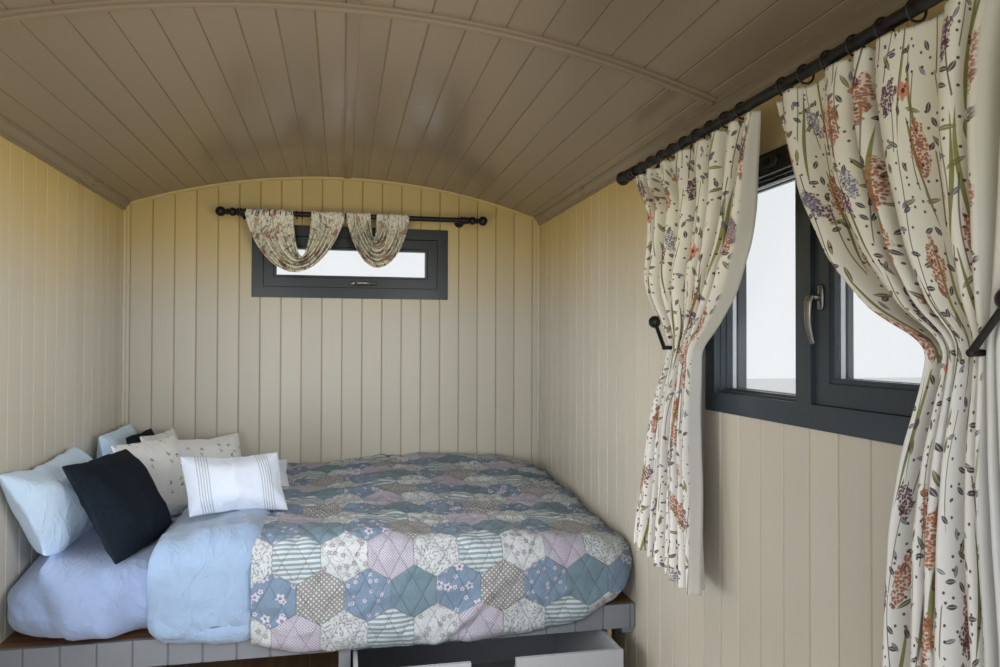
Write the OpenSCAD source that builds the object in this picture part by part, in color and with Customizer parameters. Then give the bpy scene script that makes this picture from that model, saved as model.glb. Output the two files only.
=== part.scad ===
// Sleeping end of a shepherds hut: end wall, side walls, floor, barrel roof, windows and a built-in bed.
// X runs across the hut, +Y towards the end wall, +Z up. The origin is the bottom centre of the bay.

/* [Room] */
// Inside width between the wall boards
room_w = 2100; // [2060:10:2300]
// Inside length from the open end to the end wall boards
room_l = 3400; // [3350:10:3900]
// Height of the ceiling over the floor at the eaves
eaves_h = 2125; // [2110:5:2300]
// Rise of the barrel ceiling from the eaves to the crown
ceiling_rise = 180; // [150:5:260]

/* [Floor] */
// Width of each bearer
bearer_w = 100; // [75:5:150]
// Height of each bearer
bearer_h = 120; // [90:5:200]
// Distance of each bearer from the centre line
bearer_x = 650; // [500:10:900]
// Width of each joist
joist_w = 50; // [40:1:60]
// Height of each joist
joist_h = 95; // [70:5:150]
// Largest distance between joist centres
joist_pitch = 395; // [300:5:400]
// Thickness of the floor boards
floor_t = 20; // [15:1:28]

/* [Walls] */
// Thickness of the inside boards
lining_t = 12; // [9:1:18]
// Depth of the wall studs
stud_d = 68; // [50:1:100]
// Width of the wall studs
stud_w = 45; // [38:1:55]
// Largest distance between stud centres
stud_pitch = 395; // [300:5:400]
// Height of the plates under and over the studs
plate_h = 45; // [38:1:60]
// Thickness of the outside boards
cladding_t = 20; // [15:1:28]
// Width of the outside corner boards
corner_w = 70; // [50:5:100]
// Thickness of the outside trim boards
trim_t = 18; // [14:1:22]

/* [Roof] */
// Thickness of the ceiling boards
ceiling_t = 10; // [8:1:16]
// Width of each curved rib
rib_w = 45; // [38:1:60]
// Depth of each curved rib
rib_h = 60; // [45:1:90]
// Largest distance between rib centres
rib_pitch = 395; // [300:5:400]
// Thickness of the corrugated sheet
sheet_t = 2; // [1:0.5:3]
// Distance between the corrugations
sheet_pitch = 76; // [60:1:127]
// Depth of the corrugations
sheet_depth = 18; // [12:1:25]
// How far the sheet runs out past the side walls
eaves_out = 50; // [30:5:90]
// How far the sheet runs out past the end wall
verge_out = 60; // [40:5:90]
// How far the fascia hangs below the ceiling line
fascia_drop = 40; // [30:5:70]

/* [Ceiling trims] */
// Width of the strip along the crown
crown_w = 35; // [25:1:50]
// Thickness of the strip along the crown
crown_t = 6; // [4:1:10]
// Distance of the crown strip from the centre line
crown_x = 20; // [0:1:60]
// Distance of the cross bead from the end wall
cross_back = 2010; // [1500:10:2800]
// Width of the flat batten under the cross bead
cross_w = 50; // [35:1:70]
// Thickness of the flat batten under the cross bead
cross_t = 8; // [5:1:12]
// Width of the rounded bead
bead_w = 18; // [12:1:24]
// Size of the cornice along the eaves
cornice = 34; // [20:1:50]
// Size of the small beads round the end wall
corner_bead = 14; // [10:1:20]

/* [Window joinery] */
// Width of the frame's face
frame_face = 56; // [45:1:70]
// How far the frame stands proud of the wall boards
frame_proud = 3; // [1:1:8]
// Width of the sash members
sash_w = 50; // [40:1:60]
// Thickness of the sash
sash_t = 46; // [40:1:50]
// Setback of the sash face from the wall boards
sash_in = 8; // [4:1:14]
// Gap round a closed sash
sash_gap = 0.4; // [0.3:0.1:0.8]
// Width of the stop that the sash closes on
stop_w = 14; // [10:1:20]
// Width of the glazing beads
glazing_bead = 12; // [8:1:18]
// Setback of the fixed glass from the wall boards
glass_in = 46; // [35:1:60]
// Thickness of the double glazing
glass_t = 20; // [14:1:24]
// Width of the boards round the windows outside
casing_w = 60; // [40:5:90]

/* [End window] */
// Width of the end window
end_win_w = 1000; // [800:10:1200]
// Height of the end window
end_win_h = 372; // [320:2:400]
// Distance of its middle from the centre line
end_win_x = 46; // [-100:2:100]
// Height of its sill over the floor
end_win_z = 1678; // [1600:2:1700]

/* [Side window] */
// Width of the side window
side_win_w = 950; // [850:10:1050]
// Height of the side window
side_win_h = 680; // [600:10:720]
// Distance of its near edge from the end wall
side_win_back = 1904; // [1850:2:2000]
// Height of its sill over the floor
side_win_z = 1255; // [1150:5:1280]
// Width of the mullion between its lights
mullion_w = 58; // [50:1:70]

/* [Curtain poles] */
// Radius of the poles
pole_r = 13; // [10:0.5:16]
// Distance of the poles from the wall boards
pole_out = 90; // [75:1:110]
// Radius of the ball finials
ball_r = 25; // [22:1:30]
// Height of the end pole over the floor
end_pole_z = 2092; // [2075:1:2110]
// Length of the end pole between its finials
end_pole_l = 1110; // [1000:10:1200]
// Distance of the end pole's middle from the centre line
end_pole_x = 64; // [0:2:90]
// Height of the side pole over the floor
side_pole_z = 2030; // [2000:1:2045]
// Length of the side pole between its finials
side_pole_l = 1640; // [1500:10:1700]
// Distance of the side pole's near end from the end wall
side_pole_back = 1570; // [1540:10:1620]
// Radius of the curtain rings to the middle of their wire
ring_r = 20; // [19:0.5:24]
// Radius of the ring wire
ring_wire = 2.5; // [2:0.5:3]
// Height of the tieback hooks' arms over the floor
hook_z = 1437; // [1400:1:1480]
// Distance of the tieback hooks' balls from the wall
hook_out = 112; // [105:1:130]
// Distance of the tieback hooks from the middle of the tied curtains
hook_side = 48; // [40:1:60]
// Radius of the tieback hooks' balls
hook_ball = 19; // [15:1:22]

/* [Curtains] */
// Thickness of a gathered curtain at its heading
curtain_t = 80; // [60:5:100]
// Thickness of a curtain where it is tied back
tied_t = 70; // [50:5:90]
// Width of a curtain where it is tied back
tied_w = 138; // [120:2:170]
// Height of the tieback over the floor
tied_z = 1445; // [1400:5:1480]
// How far the tieback draws a curtain towards the wall
tied_in = 22; // [0:1:30]
// Distance of the left curtain's far edge from the end wall
left_far = 1578; // [1560:2:1640]
// Distance of the left curtain's near edge from the end wall
left_near = 2345; // [2200:5:2380]
// Distance of the left curtain's tieback from the end wall
left_tie = 1906; // [1880:2:1960]
// Distance of the right curtain's far edge from the end wall
right_far = 2405; // [2405:5:2500]
// Distance of the right curtain's near edge from the end wall
right_near = 3135; // [3000:5:3160]
// Distance of the right curtain's tieback from the end wall
right_tie = 2914; // [2860:2:2960]
// Height of the curtain hems over the floor
hem_z = 750; // [650:10:900]
// Drop of the swags below the end pole
swag_drop = 280; // [200:5:340]

/* [Bed] */
// Height of the bed base over the floor
bed_h = 500; // [470:5:560]
// Depth of the bed base from the end wall to its rail
bed_d = 1352; // [1300:2:1400]
// Thickness of the bed base boards
base_t = 18; // [15:1:24]
// Thickness of the front rail
rail_t = 18; // [15:1:24]
// Height of the front rail
rail_h = 85; // [70:1:95]
// Width of the battens on the walls
ledger_w = 45; // [35:1:60]
// Height of the battens on the walls
ledger_h = 92; // [80:1:110]
// Thickness of the upright panels under the bed
panel_t = 18; // [15:1:24]
// Width of the post at the front of the divider
post_w = 40; // [30:1:50]
// Distance of the post's middle from the centre line
post_x = 10; // [0:1:30]

/* [Drawer] */
// Width of the drawer
drawer_w = 900; // [850:2:910]
// Height of the drawer's top over the floor
drawer_top = 408; // [380:1:409]
// Height of the drawer's underside over the floor
drawer_low = 45; // [40:1:60]
// Length of the drawer from front to back
drawer_l = 800; // [700:10:900]
// Thickness of the drawer's front
front_t = 18; // [15:1:22]
// Thickness of the drawer's sides and back
side_t = 14; // [12:1:16]
// Thickness of the drawer's bottom
bottom_t = 8; // [6:1:12]
// How far the drawer stands open
drawer_out = 165; // [0:5:400]
// Gap between the drawer's sides and what is beside it
drawer_gap = 8; // [6:1:12]
// Gap between the drawer and its runners
runner_gap = 0.3; // [0.2:0.1:0.5]
// Width of the finger notch
notch_w = 150; // [100:5:200]
// Depth of the finger notch
notch_d = 42; // [30:1:60]

/* [Bedding] */
// Height of the mattress
mattress_h = 235; // [200:5:250]
// Setback of the mattress from the bed's front
mattress_in = 27; // [20:1:60]
// Thickness of the quilt over the mattress
quilt_t = 90; // [60:5:110]
// Thickness of the quilt where it hangs
quilt_hang = 45; // [35:5:60]
// Height of the quilt's lowest hem over the floor
quilt_hem = 415; // [415:5:460]
// Distance of the quilt's left edge from the centre line
quilt_left = 285; // [200:5:350]
// Width of the folded-back top of the duvet
fold_w = 320; // [250:10:340]
// Thickness of the folded-back top of the duvet
fold_t = 95; // [80:5:130]
// Gap between soft pieces and what is beside them
soft_gap = 0.4; // [0.3:0.1:0.8]
// Width of each pillow
pillow_w = 640; // [600:10:680]
// Height of each pillow
pillow_h = 360; // [340:10:400]
// Thickness of each pillow
pillow_t = 130; // [100:5:140]
// Width and height of the charcoal cushions
charcoal_w = 400; // [380:5:420]
// Width and height of the print cushions
print_w = 370; // [350:5:380]
// Thickness of the square cushions
cushion_t = 66; // [50:2:72]
// Width of each oblong cushion
lumbar_w = 345; // [330:5:360]
// Height of each oblong cushion
lumbar_h = 225; // [210:5:240]

/* [Hidden] */

arc_fn = 360;
round_fn = 48;
soft_fn = 16;
far = 10000;

// Main levels and planes
floor_z = bearer_h + joist_h + floor_t;
half_w = room_w / 2;
wall_t = lining_t + stud_d + cladding_t;
stud_x = half_w + lining_t;
clad_x = stud_x + stud_d;
out_x = half_w + wall_t;
total_l = room_l + wall_t + verge_out;
y_cut = -total_l / 2;
y_end = y_cut + room_l;
y_stud = y_end + lining_t;
y_clad = y_stud + stud_d;
y_out = y_end + wall_t;

// Barrel arc
ceil_r = (half_w * half_w + ceiling_rise * ceiling_rise) / (2 * ceiling_rise);
arc_z0 = floor_z + eaves_h + ceiling_rise - ceil_r;
rib_r = ceil_r + ceiling_t;
roof_r = rib_r + rib_h;

// Bed planes
y_bed = y_end - bed_d;
y_rail = y_bed - rail_t;
bed_z = floor_z + bed_h;
rail_low = bed_z - rail_h;
post_right = post_x + post_w / 2;
drawer_x0 = post_right + drawer_gap;
drawer_x1 = drawer_x0 + drawer_w;
support_x = drawer_x1 + drawer_gap;
divider_x = post_right - panel_t - 4;
y_front = y_rail - drawer_out;
mattress_top = bed_z + soft_gap + mattress_h;
y_mattress = y_bed + mattress_in;

// Height of the arc of radius r at a distance x from the centre line
function arc_z(r, x) = arc_z0 + sqrt(r * r - x * x);

// World y of a point at a distance from the end wall
function back(d) = y_end - d;

// Number of members that keep a length's bays within a pitch
function bays(length, pitch) = ceil(length / pitch);

// Box between two corners
module block(a, b) {
  translate(a)
    cube(b - a);
}

// Drawing in the X-Z plane carried along Y from y0 to y1
module along_y(y0, y1) {
  translate([0, y1, 0])
    rotate([90, 0, 0])
      linear_extrude(y1 - y0)
        children();
}

// Disc under the barrel arc of radius r, in the X-Z plane
module arc_disc(r) {
  translate([0, arc_z0])
    circle(r, $fn = arc_fn);
}

// Curved band between two radii, between two distances from the centre line
module arc_band(r0, r1, x0, x1) {
  intersection() {
    difference() {
      arc_disc(r1);
      arc_disc(r0);
    }
    translate([x0, floor_z])
      square([x1 - x0, far]);
  }
}

// Everything below the ceiling arc
module under_ceiling(r = ceil_r) {
  intersection() {
    children();
    along_y(-far, far)
      arc_disc(r);
  }
}

module end_window_hole() {
  block([end_win_x - end_win_w / 2, y_end - far / 100, floor_z + end_win_z],
        [end_win_x + end_win_w / 2, y_out + far / 100, floor_z + end_win_z + end_win_h]);
}

module side_window_hole() {
  block([half_w - far / 100, back(side_win_back + side_win_w), floor_z + side_win_z],
        [out_x + far / 100, back(side_win_back), floor_z + side_win_z + side_win_h]);
}

// Floor
module floor_bearers() {
  color("sienna")
    for (side = [-1, 1])
      block([side * bearer_x - bearer_w / 2, y_cut, 0],
            [side * bearer_x + bearer_w / 2, y_clad, bearer_h]);
}

module floor_joists() {
  run = y_clad - y_cut - joist_w;
  n = bays(run, joist_pitch);
  color("peru")
    for (i = [0 : n])
      block([-clad_x, y_cut + i * run / n, bearer_h],
            [clad_x, y_cut + i * run / n + joist_w, bearer_h + joist_h]);
}

module floor_boards() {
  color("burlywood")
    block([-clad_x, y_cut, floor_z - floor_t], [clad_x, y_clad, floor_z]);
}

// End wall
module end_wall_lining() {
  color("wheat")
    difference() {
      under_ceiling()
        block([-stud_x, y_end, floor_z], [stud_x, y_stud, far]);
      end_window_hole();
    }
}

module end_wall_studs() {
  run = 2 * clad_x - stud_w;
  n = bays(run, stud_pitch);
  for (i = [0 : n])
    block([-clad_x + i * run / n, y_stud, floor_z],
          [-clad_x + i * run / n + stud_w, y_clad, far]);
}

module end_wall_frame() {
  color("burlywood")
    difference() {
      under_ceiling()
        union() {
          end_wall_studs();
          block([-clad_x, y_stud, floor_z], [clad_x, y_clad, floor_z + plate_h]);
          along_y(y_stud, y_clad)
            arc_band(ceil_r - plate_h, ceil_r, -clad_x, clad_x);
          block([end_win_x - end_win_w / 2 - stud_w, y_stud, floor_z + end_win_z - stud_w],
                [end_win_x + end_win_w / 2 + stud_w, y_clad, floor_z + end_win_z + end_win_h + stud_w]);
        }
      end_window_hole();
    }
}

module end_wall_cladding() {
  color("darkseagreen")
    difference() {
      under_ceiling()
        block([-out_x, y_clad, bearer_h], [out_x, y_out, far]);
      end_window_hole();
    }
}

// Side walls, drawn on the right and mirrored to the left
module side_lining() {
  under_ceiling()
    block([half_w, y_cut, floor_z], [stud_x, y_end, far]);
}

module side_studs() {
  run = y_stud - y_cut - stud_w;
  n = bays(run, stud_pitch);
  for (i = [0 : n])
    block([stud_x, y_cut + i * run / n, floor_z],
          [clad_x, y_cut + i * run / n + stud_w, far]);
}

module side_frame() {
  under_ceiling()
    union() {
      side_studs();
      block([stud_x, y_cut, floor_z], [clad_x, y_stud, floor_z + plate_h]);
      block([stud_x, y_cut, arc_z(ceil_r, clad_x) - plate_h], [clad_x, y_stud, far]);
    }
}

module side_cladding() {
  under_ceiling()
    block([clad_x, y_cut, bearer_h], [out_x, y_clad, far]);
}

module left_wall_lining() {
  color("wheat")
    mirror([1, 0, 0])
      side_lining();
}

module left_wall_frame() {
  color("burlywood")
    mirror([1, 0, 0])
      side_frame();
}

module left_wall_cladding() {
  color("darkseagreen")
    mirror([1, 0, 0])
      side_cladding();
}

module right_wall_lining() {
  color("wheat")
    difference() {
      side_lining();
      side_window_hole();
    }
}

module right_wall_frame() {
  color("burlywood")
    difference() {
      union() {
        side_frame();
        block([stud_x, back(side_win_back + side_win_w) - stud_w, floor_z + side_win_z - stud_w],
              [clad_x, back(side_win_back) + stud_w, floor_z + side_win_z + side_win_h + stud_w]);
      }
      side_window_hole();
    }
}

module right_wall_cladding() {
  color("darkseagreen")
    difference() {
      side_cladding();
      side_window_hole();
    }
}

// Outside trims
fascia_low = arc_z(ceil_r, out_x) - fascia_drop;

module corner_boards() {
  color("darkseagreen")
    for (side = [0, 1])
      mirror([side, 0, 0])
        union() {
          block([out_x, y_out - corner_w, bearer_h], [out_x + trim_t, y_out + trim_t, fascia_low]);
          block([out_x - corner_w, y_out, bearer_h], [out_x + trim_t, y_out + trim_t, fascia_low]);
        }
}

module eaves_fascias() {
  color("darkseagreen")
    intersection() {
      union() {
        for (side = [0, 1])
          mirror([side, 0, 0])
            block([out_x, y_cut, fascia_low], [out_x + trim_t, y_out, far]);
      }
      along_y(-far, far)
        arc_disc(roof_r);
    }
}

module verge_board() {
  verge_x = out_x + trim_t;
  color("darkseagreen")
    along_y(y_out, y_out + trim_t)
      union() {
        arc_band(ceil_r - fascia_drop / 2, roof_r, -verge_x, verge_x);
        for (side = [0, 1])
          mirror([side, 0])
            intersection() {
              translate([out_x - corner_w, fascia_low])
                square([corner_w + trim_t, far]);
              arc_disc(roof_r);
            }
      }
}

// Roof
module ceiling_boards() {
  color("tan")
    along_y(y_cut, y_out)
      arc_band(ceil_r, rib_r, -out_x, out_x);
}

module roof_ribs() {
  run = y_out - y_cut - rib_w;
  n = bays(run, rib_pitch);
  color("burlywood")
    for (i = [0 : n])
      along_y(y_cut + i * run / n, y_cut + i * run / n + rib_w)
        arc_band(rib_r, roof_r, -out_x, out_x);
}

// Corrugated sheet: a wavy section along Y, bent over the ribs
module roof_sheet() {
  steps = 8;
  waves = round(total_l / sheet_pitch);
  step_l = total_l / waves / steps;
  mid_r = roof_r + sheet_depth / 2;
  edge = asin((out_x + eaves_out) / mid_r);
  function wave(i) = mid_r - sheet_depth / 2 * cos(i * 360 / steps);
  under = [for (i = [0 : waves * steps]) [wave(i), i * step_l]];
  over = [for (i = [waves * steps : -1 : 0]) [wave(i) + sheet_t, i * step_l]];
  color("slategray")
    translate([0, y_cut + total_l, arc_z0])
      rotate([90, 0, 0])
        rotate([0, 0, 90 - edge])
          rotate_extrude(angle = 2 * edge, $fn = arc_fn)
            polygon(concat(under, over));
}

// Ceiling trims
module crown_strip() {
  color("tan")
    for (run = [[y_cut, back(cross_back + cross_w / 2)], [back(cross_back - cross_w / 2), y_end - corner_bead]])
      along_y(run[0], run[1])
        arc_band(ceil_r - crown_t, ceil_r, crown_x - crown_w / 2, crown_x + crown_w / 2);
}

module cross_bead() {
  reach = half_w - cornice;
  color("cornsilk")
    union() {
      along_y(back(cross_back + cross_w / 2), back(cross_back - cross_w / 2))
        arc_band(ceil_r - cross_t, ceil_r, -reach, reach);
      along_y(back(cross_back + bead_w / 2), back(cross_back - bead_w / 2))
        arc_band(ceil_r - cross_t - bead_w / 2, ceil_r, -reach, reach);
    }
}

module eaves_cornices() {
  low = arc_z(ceil_r, half_w) - cornice;
  color("cornsilk")
    for (side = [0, 1])
      mirror([side, 0, 0])
        along_y(y_cut, y_end - corner_bead)
          polygon([[half_w, low], [half_w - cornice / 4, low],
                   [half_w - cornice, arc_z(ceil_r, half_w - cornice) - cornice / 5],
                   [half_w - cornice, arc_z(ceil_r, half_w - cornice)],
                   [half_w, arc_z(ceil_r, half_w)]]);
}

module end_wall_beads() {
  color("cornsilk")
    under_ceiling()
      union() {
        along_y(y_end - corner_bead, y_end)
          arc_band(ceil_r - corner_bead, ceil_r, -half_w, half_w);
        for (side = [0, 1])
          mirror([side, 0, 0])
            block([half_w - corner_bead, y_end - corner_bead, bed_z + mattress_h + 2 * quilt_t],
                  [half_w, y_end, far]);
      }
}

// Rectangular ring in window coordinates: X across, Y into the wall, Z up
module ring(w, h, t, d0, d1) {
  difference() {
    block([-w / 2, d0, -h / 2], [w / 2, d1, h / 2]);
    block([-w / 2 + t, d0 - 1, -h / 2 + t], [w / 2 - t, d1 + 1, h / 2 - t]);
  }
}

module at_end_window() {
  translate([end_win_x, y_end, floor_z + end_win_z + end_win_h / 2])
    children();
}

module at_side_window() {
  translate([half_w, back(side_win_back + side_win_w / 2), floor_z + side_win_z + side_win_h / 2])
    rotate([0, 0, -90])
      children();
}

// Lights of the side window: clear width between frame and mullion, and the middle of each light
light_w = (side_win_w - 2 * frame_face - mullion_w) / 2;
light_h = side_win_h - 2 * frame_face;
light_x = (mullion_w + light_w) / 2;
end_light_w = end_win_w - 2 * frame_face;
end_light_h = end_win_h - 2 * frame_face;
stop_in = sash_in + sash_t;

module window_casings() {
  color("darkslategray") {
    under_ceiling(ceil_r - fascia_drop / 2)
      at_end_window()
        ring(end_win_w + 2 * casing_w, end_win_h + 2 * casing_w, casing_w, wall_t, wall_t + trim_t);
    at_side_window()
      ring(side_win_w + 2 * casing_w, side_win_h + 2 * casing_w, casing_w, wall_t, wall_t + trim_t);
  }
}

// Sash for a clear opening, its members with a stepped glazing bead
module sash(w, h) {
  sw = w - 2 * sash_gap;
  sh = h - 2 * sash_gap;
  ring(sw, sh, sash_w, sash_in, stop_in);
  ring(sw - 2 * sash_w, sh - 2 * sash_w, glazing_bead, sash_in + 6, stop_in - glass_t - 6);
  ring(sw - 2 * sash_w, sh - 2 * sash_w, glazing_bead, stop_in - 6, stop_in);
}

// Glass held in a sash between its beads
module sash_glass(w, h) {
  gw = w - 2 * sash_gap - 2 * sash_w;
  gh = h - 2 * sash_gap - 2 * sash_w;
  block([-gw / 2, stop_in - glass_t - 6, -gh / 2], [gw / 2, stop_in - 6, gh / 2]);
}

// Stop ring that a sash closes on
module sash_stop(w, h) {
  ring(w, h, stop_w, stop_in, wall_t);
}

// Beads of a fixed light, stepped towards the glass
module fixed_beads(w, h) {
  ring(w, h, glazing_bead / 2, glass_in / 3, glass_in);
  ring(w, h, glazing_bead, glass_in / 3 * 2, glass_in);
  ring(w, h, glazing_bead, glass_in + glass_t, glass_in + glass_t + glazing_bead);
}

module end_window_frame() {
  color("darkslategray")
    at_end_window()
      union() {
        ring(end_win_w, end_win_h, frame_face, -frame_proud, wall_t);
        sash_stop(end_light_w, end_light_h);
      }
}

module end_window_sash() {
  color("darkslategray")
    at_end_window()
      sash(end_light_w, end_light_h);
}

module end_window_glass() {
  color("lightcyan", 0.4)
    at_end_window()
      sash_glass(end_light_w, end_light_h);
}

// Lever handle on a face at y = 0: a rose plate, a boss and a tapering lever that turns up to lever_l
module lever_handle(lever_l) {
  bend = -28;
  block([-13, -8, -30], [13, 0, 30]);
  rotate([90, 0, 0])
    cylinder(r = 9, h = -bend, $fn = round_fn);
  translate([0, bend, 0])
    sphere(r = 11, $fn = round_fn);
  translate([0, bend, 0])
    rotate([-10, 0, 0])
      cylinder(r1 = 9, r2 = 6, h = lever_l, $fn = round_fn);
}

handle_l = 105;

module end_window_handle() {
  color("black")
    at_end_window()
      translate([20, sash_in, -end_light_h / 2 + sash_w / 2])
        rotate([0, 90, 0])
          lever_handle(handle_l);
}

module side_window_frame() {
  color("darkslategray")
    at_side_window()
      union() {
        ring(side_win_w, side_win_h, frame_face, -frame_proud, wall_t);
        block([-mullion_w / 2, -frame_proud, -light_h / 2], [mullion_w / 2, wall_t, light_h / 2]);
        translate([-light_x, 0, 0])
          fixed_beads(light_w, light_h);
        translate([light_x, 0, 0])
          sash_stop(light_w, light_h);
      }
}

module side_window_sash() {
  color("darkslategray")
    at_side_window()
      translate([light_x, 0, 0])
        sash(light_w, light_h);
}

module side_window_glass() {
  color("lightcyan", 0.4)
    at_side_window() {
      translate([-light_x, 0, 0])
        block([-light_w / 2, glass_in, -light_h / 2], [light_w / 2, glass_in + glass_t, light_h / 2]);
      translate([light_x, 0, 0])
        sash_glass(light_w, light_h);
    }
}

module side_window_handle() {
  color("black")
    at_side_window()
      translate([light_x - light_w / 2 + sash_w / 2, sash_in, -40])
        rotate([0, 180, 0])
          lever_handle(handle_l);
}

vent_w = 260;
vent_h = 22;

module trickle_vent() {
  color("black")
    at_side_window()
      translate([-light_x, -frame_proud, side_win_h / 2 - frame_face / 2])
        difference() {
          block([-vent_w / 2, -12, -vent_h / 2], [vent_w / 2, 0, vent_h / 2]);
          block([-vent_w / 2 + 12, -13, -4], [vent_w / 2 - 12, -5, 4]);
        }
}

// Curtain poles. A turned finial points along +Z from the end of its pole.
finial_l = 5 * ball_r;

module turned_ring(r, wire, z) {
  translate([0, 0, z])
    rotate_extrude($fn = round_fn)
      translate([r, 0])
        circle(wire, $fn = round_fn);
}

module finial() {
  neck = ball_r * 0.45;
  cylinder(r = neck, h = finial_l - ball_r, $fn = round_fn);
  cylinder(r = ball_r * 0.8, h = ball_r * 0.3, $fn = round_fn);
  turned_ring(ball_r * 0.5, ball_r * 0.28, ball_r * 0.75);
  translate([0, 0, ball_r * 1.75])
    sphere(r = ball_r * 0.85, $fn = round_fn);
  turned_ring(ball_r * 0.42, ball_r * 0.24, ball_r * 2.75);
  translate([0, 0, finial_l - ball_r])
    sphere(r = ball_r, $fn = round_fn);
}

// Pole of a length from the origin along +Z, with a finial at each end
module pole(length) {
  cylinder(r = pole_r, h = length, $fn = round_fn);
  translate([0, 0, length])
    finial();
  mirror([0, 0, 1])
    finial();
}

module at_end_pole() {
  translate([end_pole_x - end_pole_l / 2, y_end - pole_out, floor_z + end_pole_z])
    rotate([0, 90, 0])
      children();
}

module at_side_pole() {
  translate([half_w - pole_out, back(side_pole_back), floor_z + side_pole_z])
    rotate([90, 0, 0])
      children();
}

module end_pole() {
  color("black")
    at_end_pole()
      pole(end_pole_l);
}

module side_pole() {
  color("black")
    at_side_pole()
      pole(side_pole_l);
}

// Bracket: a round wall plate, an arm and a collar round the pole. Local Z is the pole, +Y the wall.
module pole_bracket() {
  collar_r = pole_r + 6;
  difference() {
    union() {
      cylinder(r = collar_r, h = 14, center = true, $fn = round_fn);
      rotate([-90, 0, 0])
        cylinder(r = 8, h = pole_out - 1, $fn = round_fn);
      translate([0, pole_out - 10, 0])
        rotate([-90, 0, 0])
          cylinder(r = 26, h = 10, $fn = round_fn);
    }
    cylinder(r = pole_r, h = 60, center = true, $fn = round_fn);
  }
}

bracket_in = 14;

module end_pole_brackets() {
  color("black")
    at_end_pole()
      for (z = [bracket_in, end_pole_l - bracket_in])
        translate([0, 0, z])
          pole_bracket();
}

module side_pole_brackets() {
  color("black")
    at_side_pole()
      for (z = [bracket_in, side_pole_l - bracket_in])
        translate([0, 0, z])
          rotate([0, 0, -90])
            pole_bracket();
}

// Rings hang on a pole. The offset puts the wire on top of the pole.
ring_hang = ring_r - ring_wire - pole_r - 0.3;
ring_low = ring_hang + ring_r + ring_wire;

module curtain_rings() {
  side_rings = [for (i = [0 : 8]) 70 + i * 78, for (i = [0 : 8]) 870 + i * 78];
  color("black") {
    at_side_pole()
      for (z = side_rings)
        translate([0, -ring_hang, 0])
          turned_ring(ring_r, ring_wire, z);
    at_end_pole()
      for (i = [0 : 8])
        translate([ring_hang, 0, 0])
          turned_ring(ring_r, ring_wire, 80 + i * 26);
  }
}

// Round rod between two points
module rod(a, b, r) {
  run = b - a;
  translate(a)
    rotate([0, acos(run[2] / norm(run)), atan2(run[1], run[0])])
      cylinder(r = r, h = norm(run), $fn = round_fn);
}

// Hook on the wall at the origin: an arm into the room, then a rising part that ends in a ball towards +Y
module tieback_hook(grow = 0) {
  bend = [-hook_out, 0, 0];
  tip = [-hook_out, 68, 79];
  rotate([0, -90, 0])
    cylinder(r = 18 + grow, h = 6 + grow, $fn = round_fn);
  rod([0, 0, 0], bend, 6 + grow);
  translate(bend)
    sphere(r = 7 + grow, $fn = round_fn);
  rod(bend, tip, 6 + grow);
  translate(tip)
    sphere(r = hook_ball + grow, $fn = round_fn);
}

module at_left_hook() {
  translate([half_w, back(left_tie - hook_side), floor_z + hook_z])
    children();
}

module at_right_hook() {
  translate([half_w, back(right_tie + hook_side), floor_z + hook_z])
    mirror([0, 1, 0])
      children();
}

module tieback_hooks() {
  color("black") {
    at_left_hook()
      tieback_hook();
    at_right_hook()
      tieback_hook();
  }
}

// Bar of gathered cloth between two distances from the end wall, at a height and a distance to the wall
module cloth_bar(d0, d1, x, z, t, h) {
  for (y = [back(d0) - t / 2, back(d1) + t / 2])
    translate([x, y, z])
      cylinder(r = t / 2, h = h, $fn = soft_fn);
}

// Curtain from its heading to its tie to its hem, round the pole's plane at x = 0.
// It narrows by mid_draw of the way between its heading and the height mid_z.
mid_draw = 0.36;
mid_z = 1650;

module tied_curtain(far_edge, near_edge, tie, hem_far, hem_near) {
  heading_z = side_pole_z - ring_low - 0.3;
  tie_far = tie - tied_w / 2;
  tie_near = tie + tied_w / 2;
  mid_far = far_edge + mid_draw * (tie_far - far_edge);
  mid_near = near_edge + mid_draw * (tie_near - near_edge);
  hull() {
    cloth_bar(far_edge, near_edge, 0, heading_z - 60, curtain_t, 60);
    cloth_bar(mid_far, mid_near, 0, mid_z, curtain_t, 10);
  }
  hull() {
    cloth_bar(mid_far, mid_near, 0, mid_z, curtain_t, 10);
    cloth_bar(tie_far, tie_near, tied_in, tied_z, tied_t, 10);
  }
  hull() {
    cloth_bar(tie_far, tie_near, tied_in, tied_z, tied_t, 10);
    cloth_bar(tie - hem_far, tie + hem_near, 0, hem_z, curtain_t, 40);
  }
}

// A hem spreads more on the side away from the window
hem_wide = 288;
hem_narrow = 140;

module curtain_left() {
  color("linen")
    difference() {
      translate([half_w - pole_out, 0, floor_z])
        tied_curtain(left_far, left_near, left_tie, hem_wide, hem_narrow);
      at_left_hook()
        tieback_hook(soft_gap);
    }
}

module curtain_right() {
  color("linen")
    difference() {
      translate([half_w - pole_out, 0, floor_z])
        tied_curtain(right_far, right_near, right_tie, hem_narrow, hem_narrow);
      at_right_hook()
        tieback_hook(soft_gap);
    }
}

// One swag: a scarf hanging in a curve between two places under the pole
module swag(x0, x1, top, drop) {
  hull() {
    for (x = [x0, x1])
      translate([x, 0, top - 30])
        cylinder(r = 30, h = 30, $fn = soft_fn);
    translate([(x0 + x1) / 2, 0, top - drop + 40])
      sphere(r = 40, $fn = soft_fn);
  }
}

module end_valance() {
  color("linen")
    translate([0, y_end - pole_out, floor_z + end_pole_z]) {
      swag(-420, -40, -ring_low - soft_gap, swag_drop);
      swag(30, 320, -pole_r - soft_gap, swag_drop - 25);
    }
}

// Bed
module bed_platform() {
  color("saddlebrown")
    block([-half_w, y_bed, bed_z - base_t], [half_w, y_end, bed_z]);
}

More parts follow.
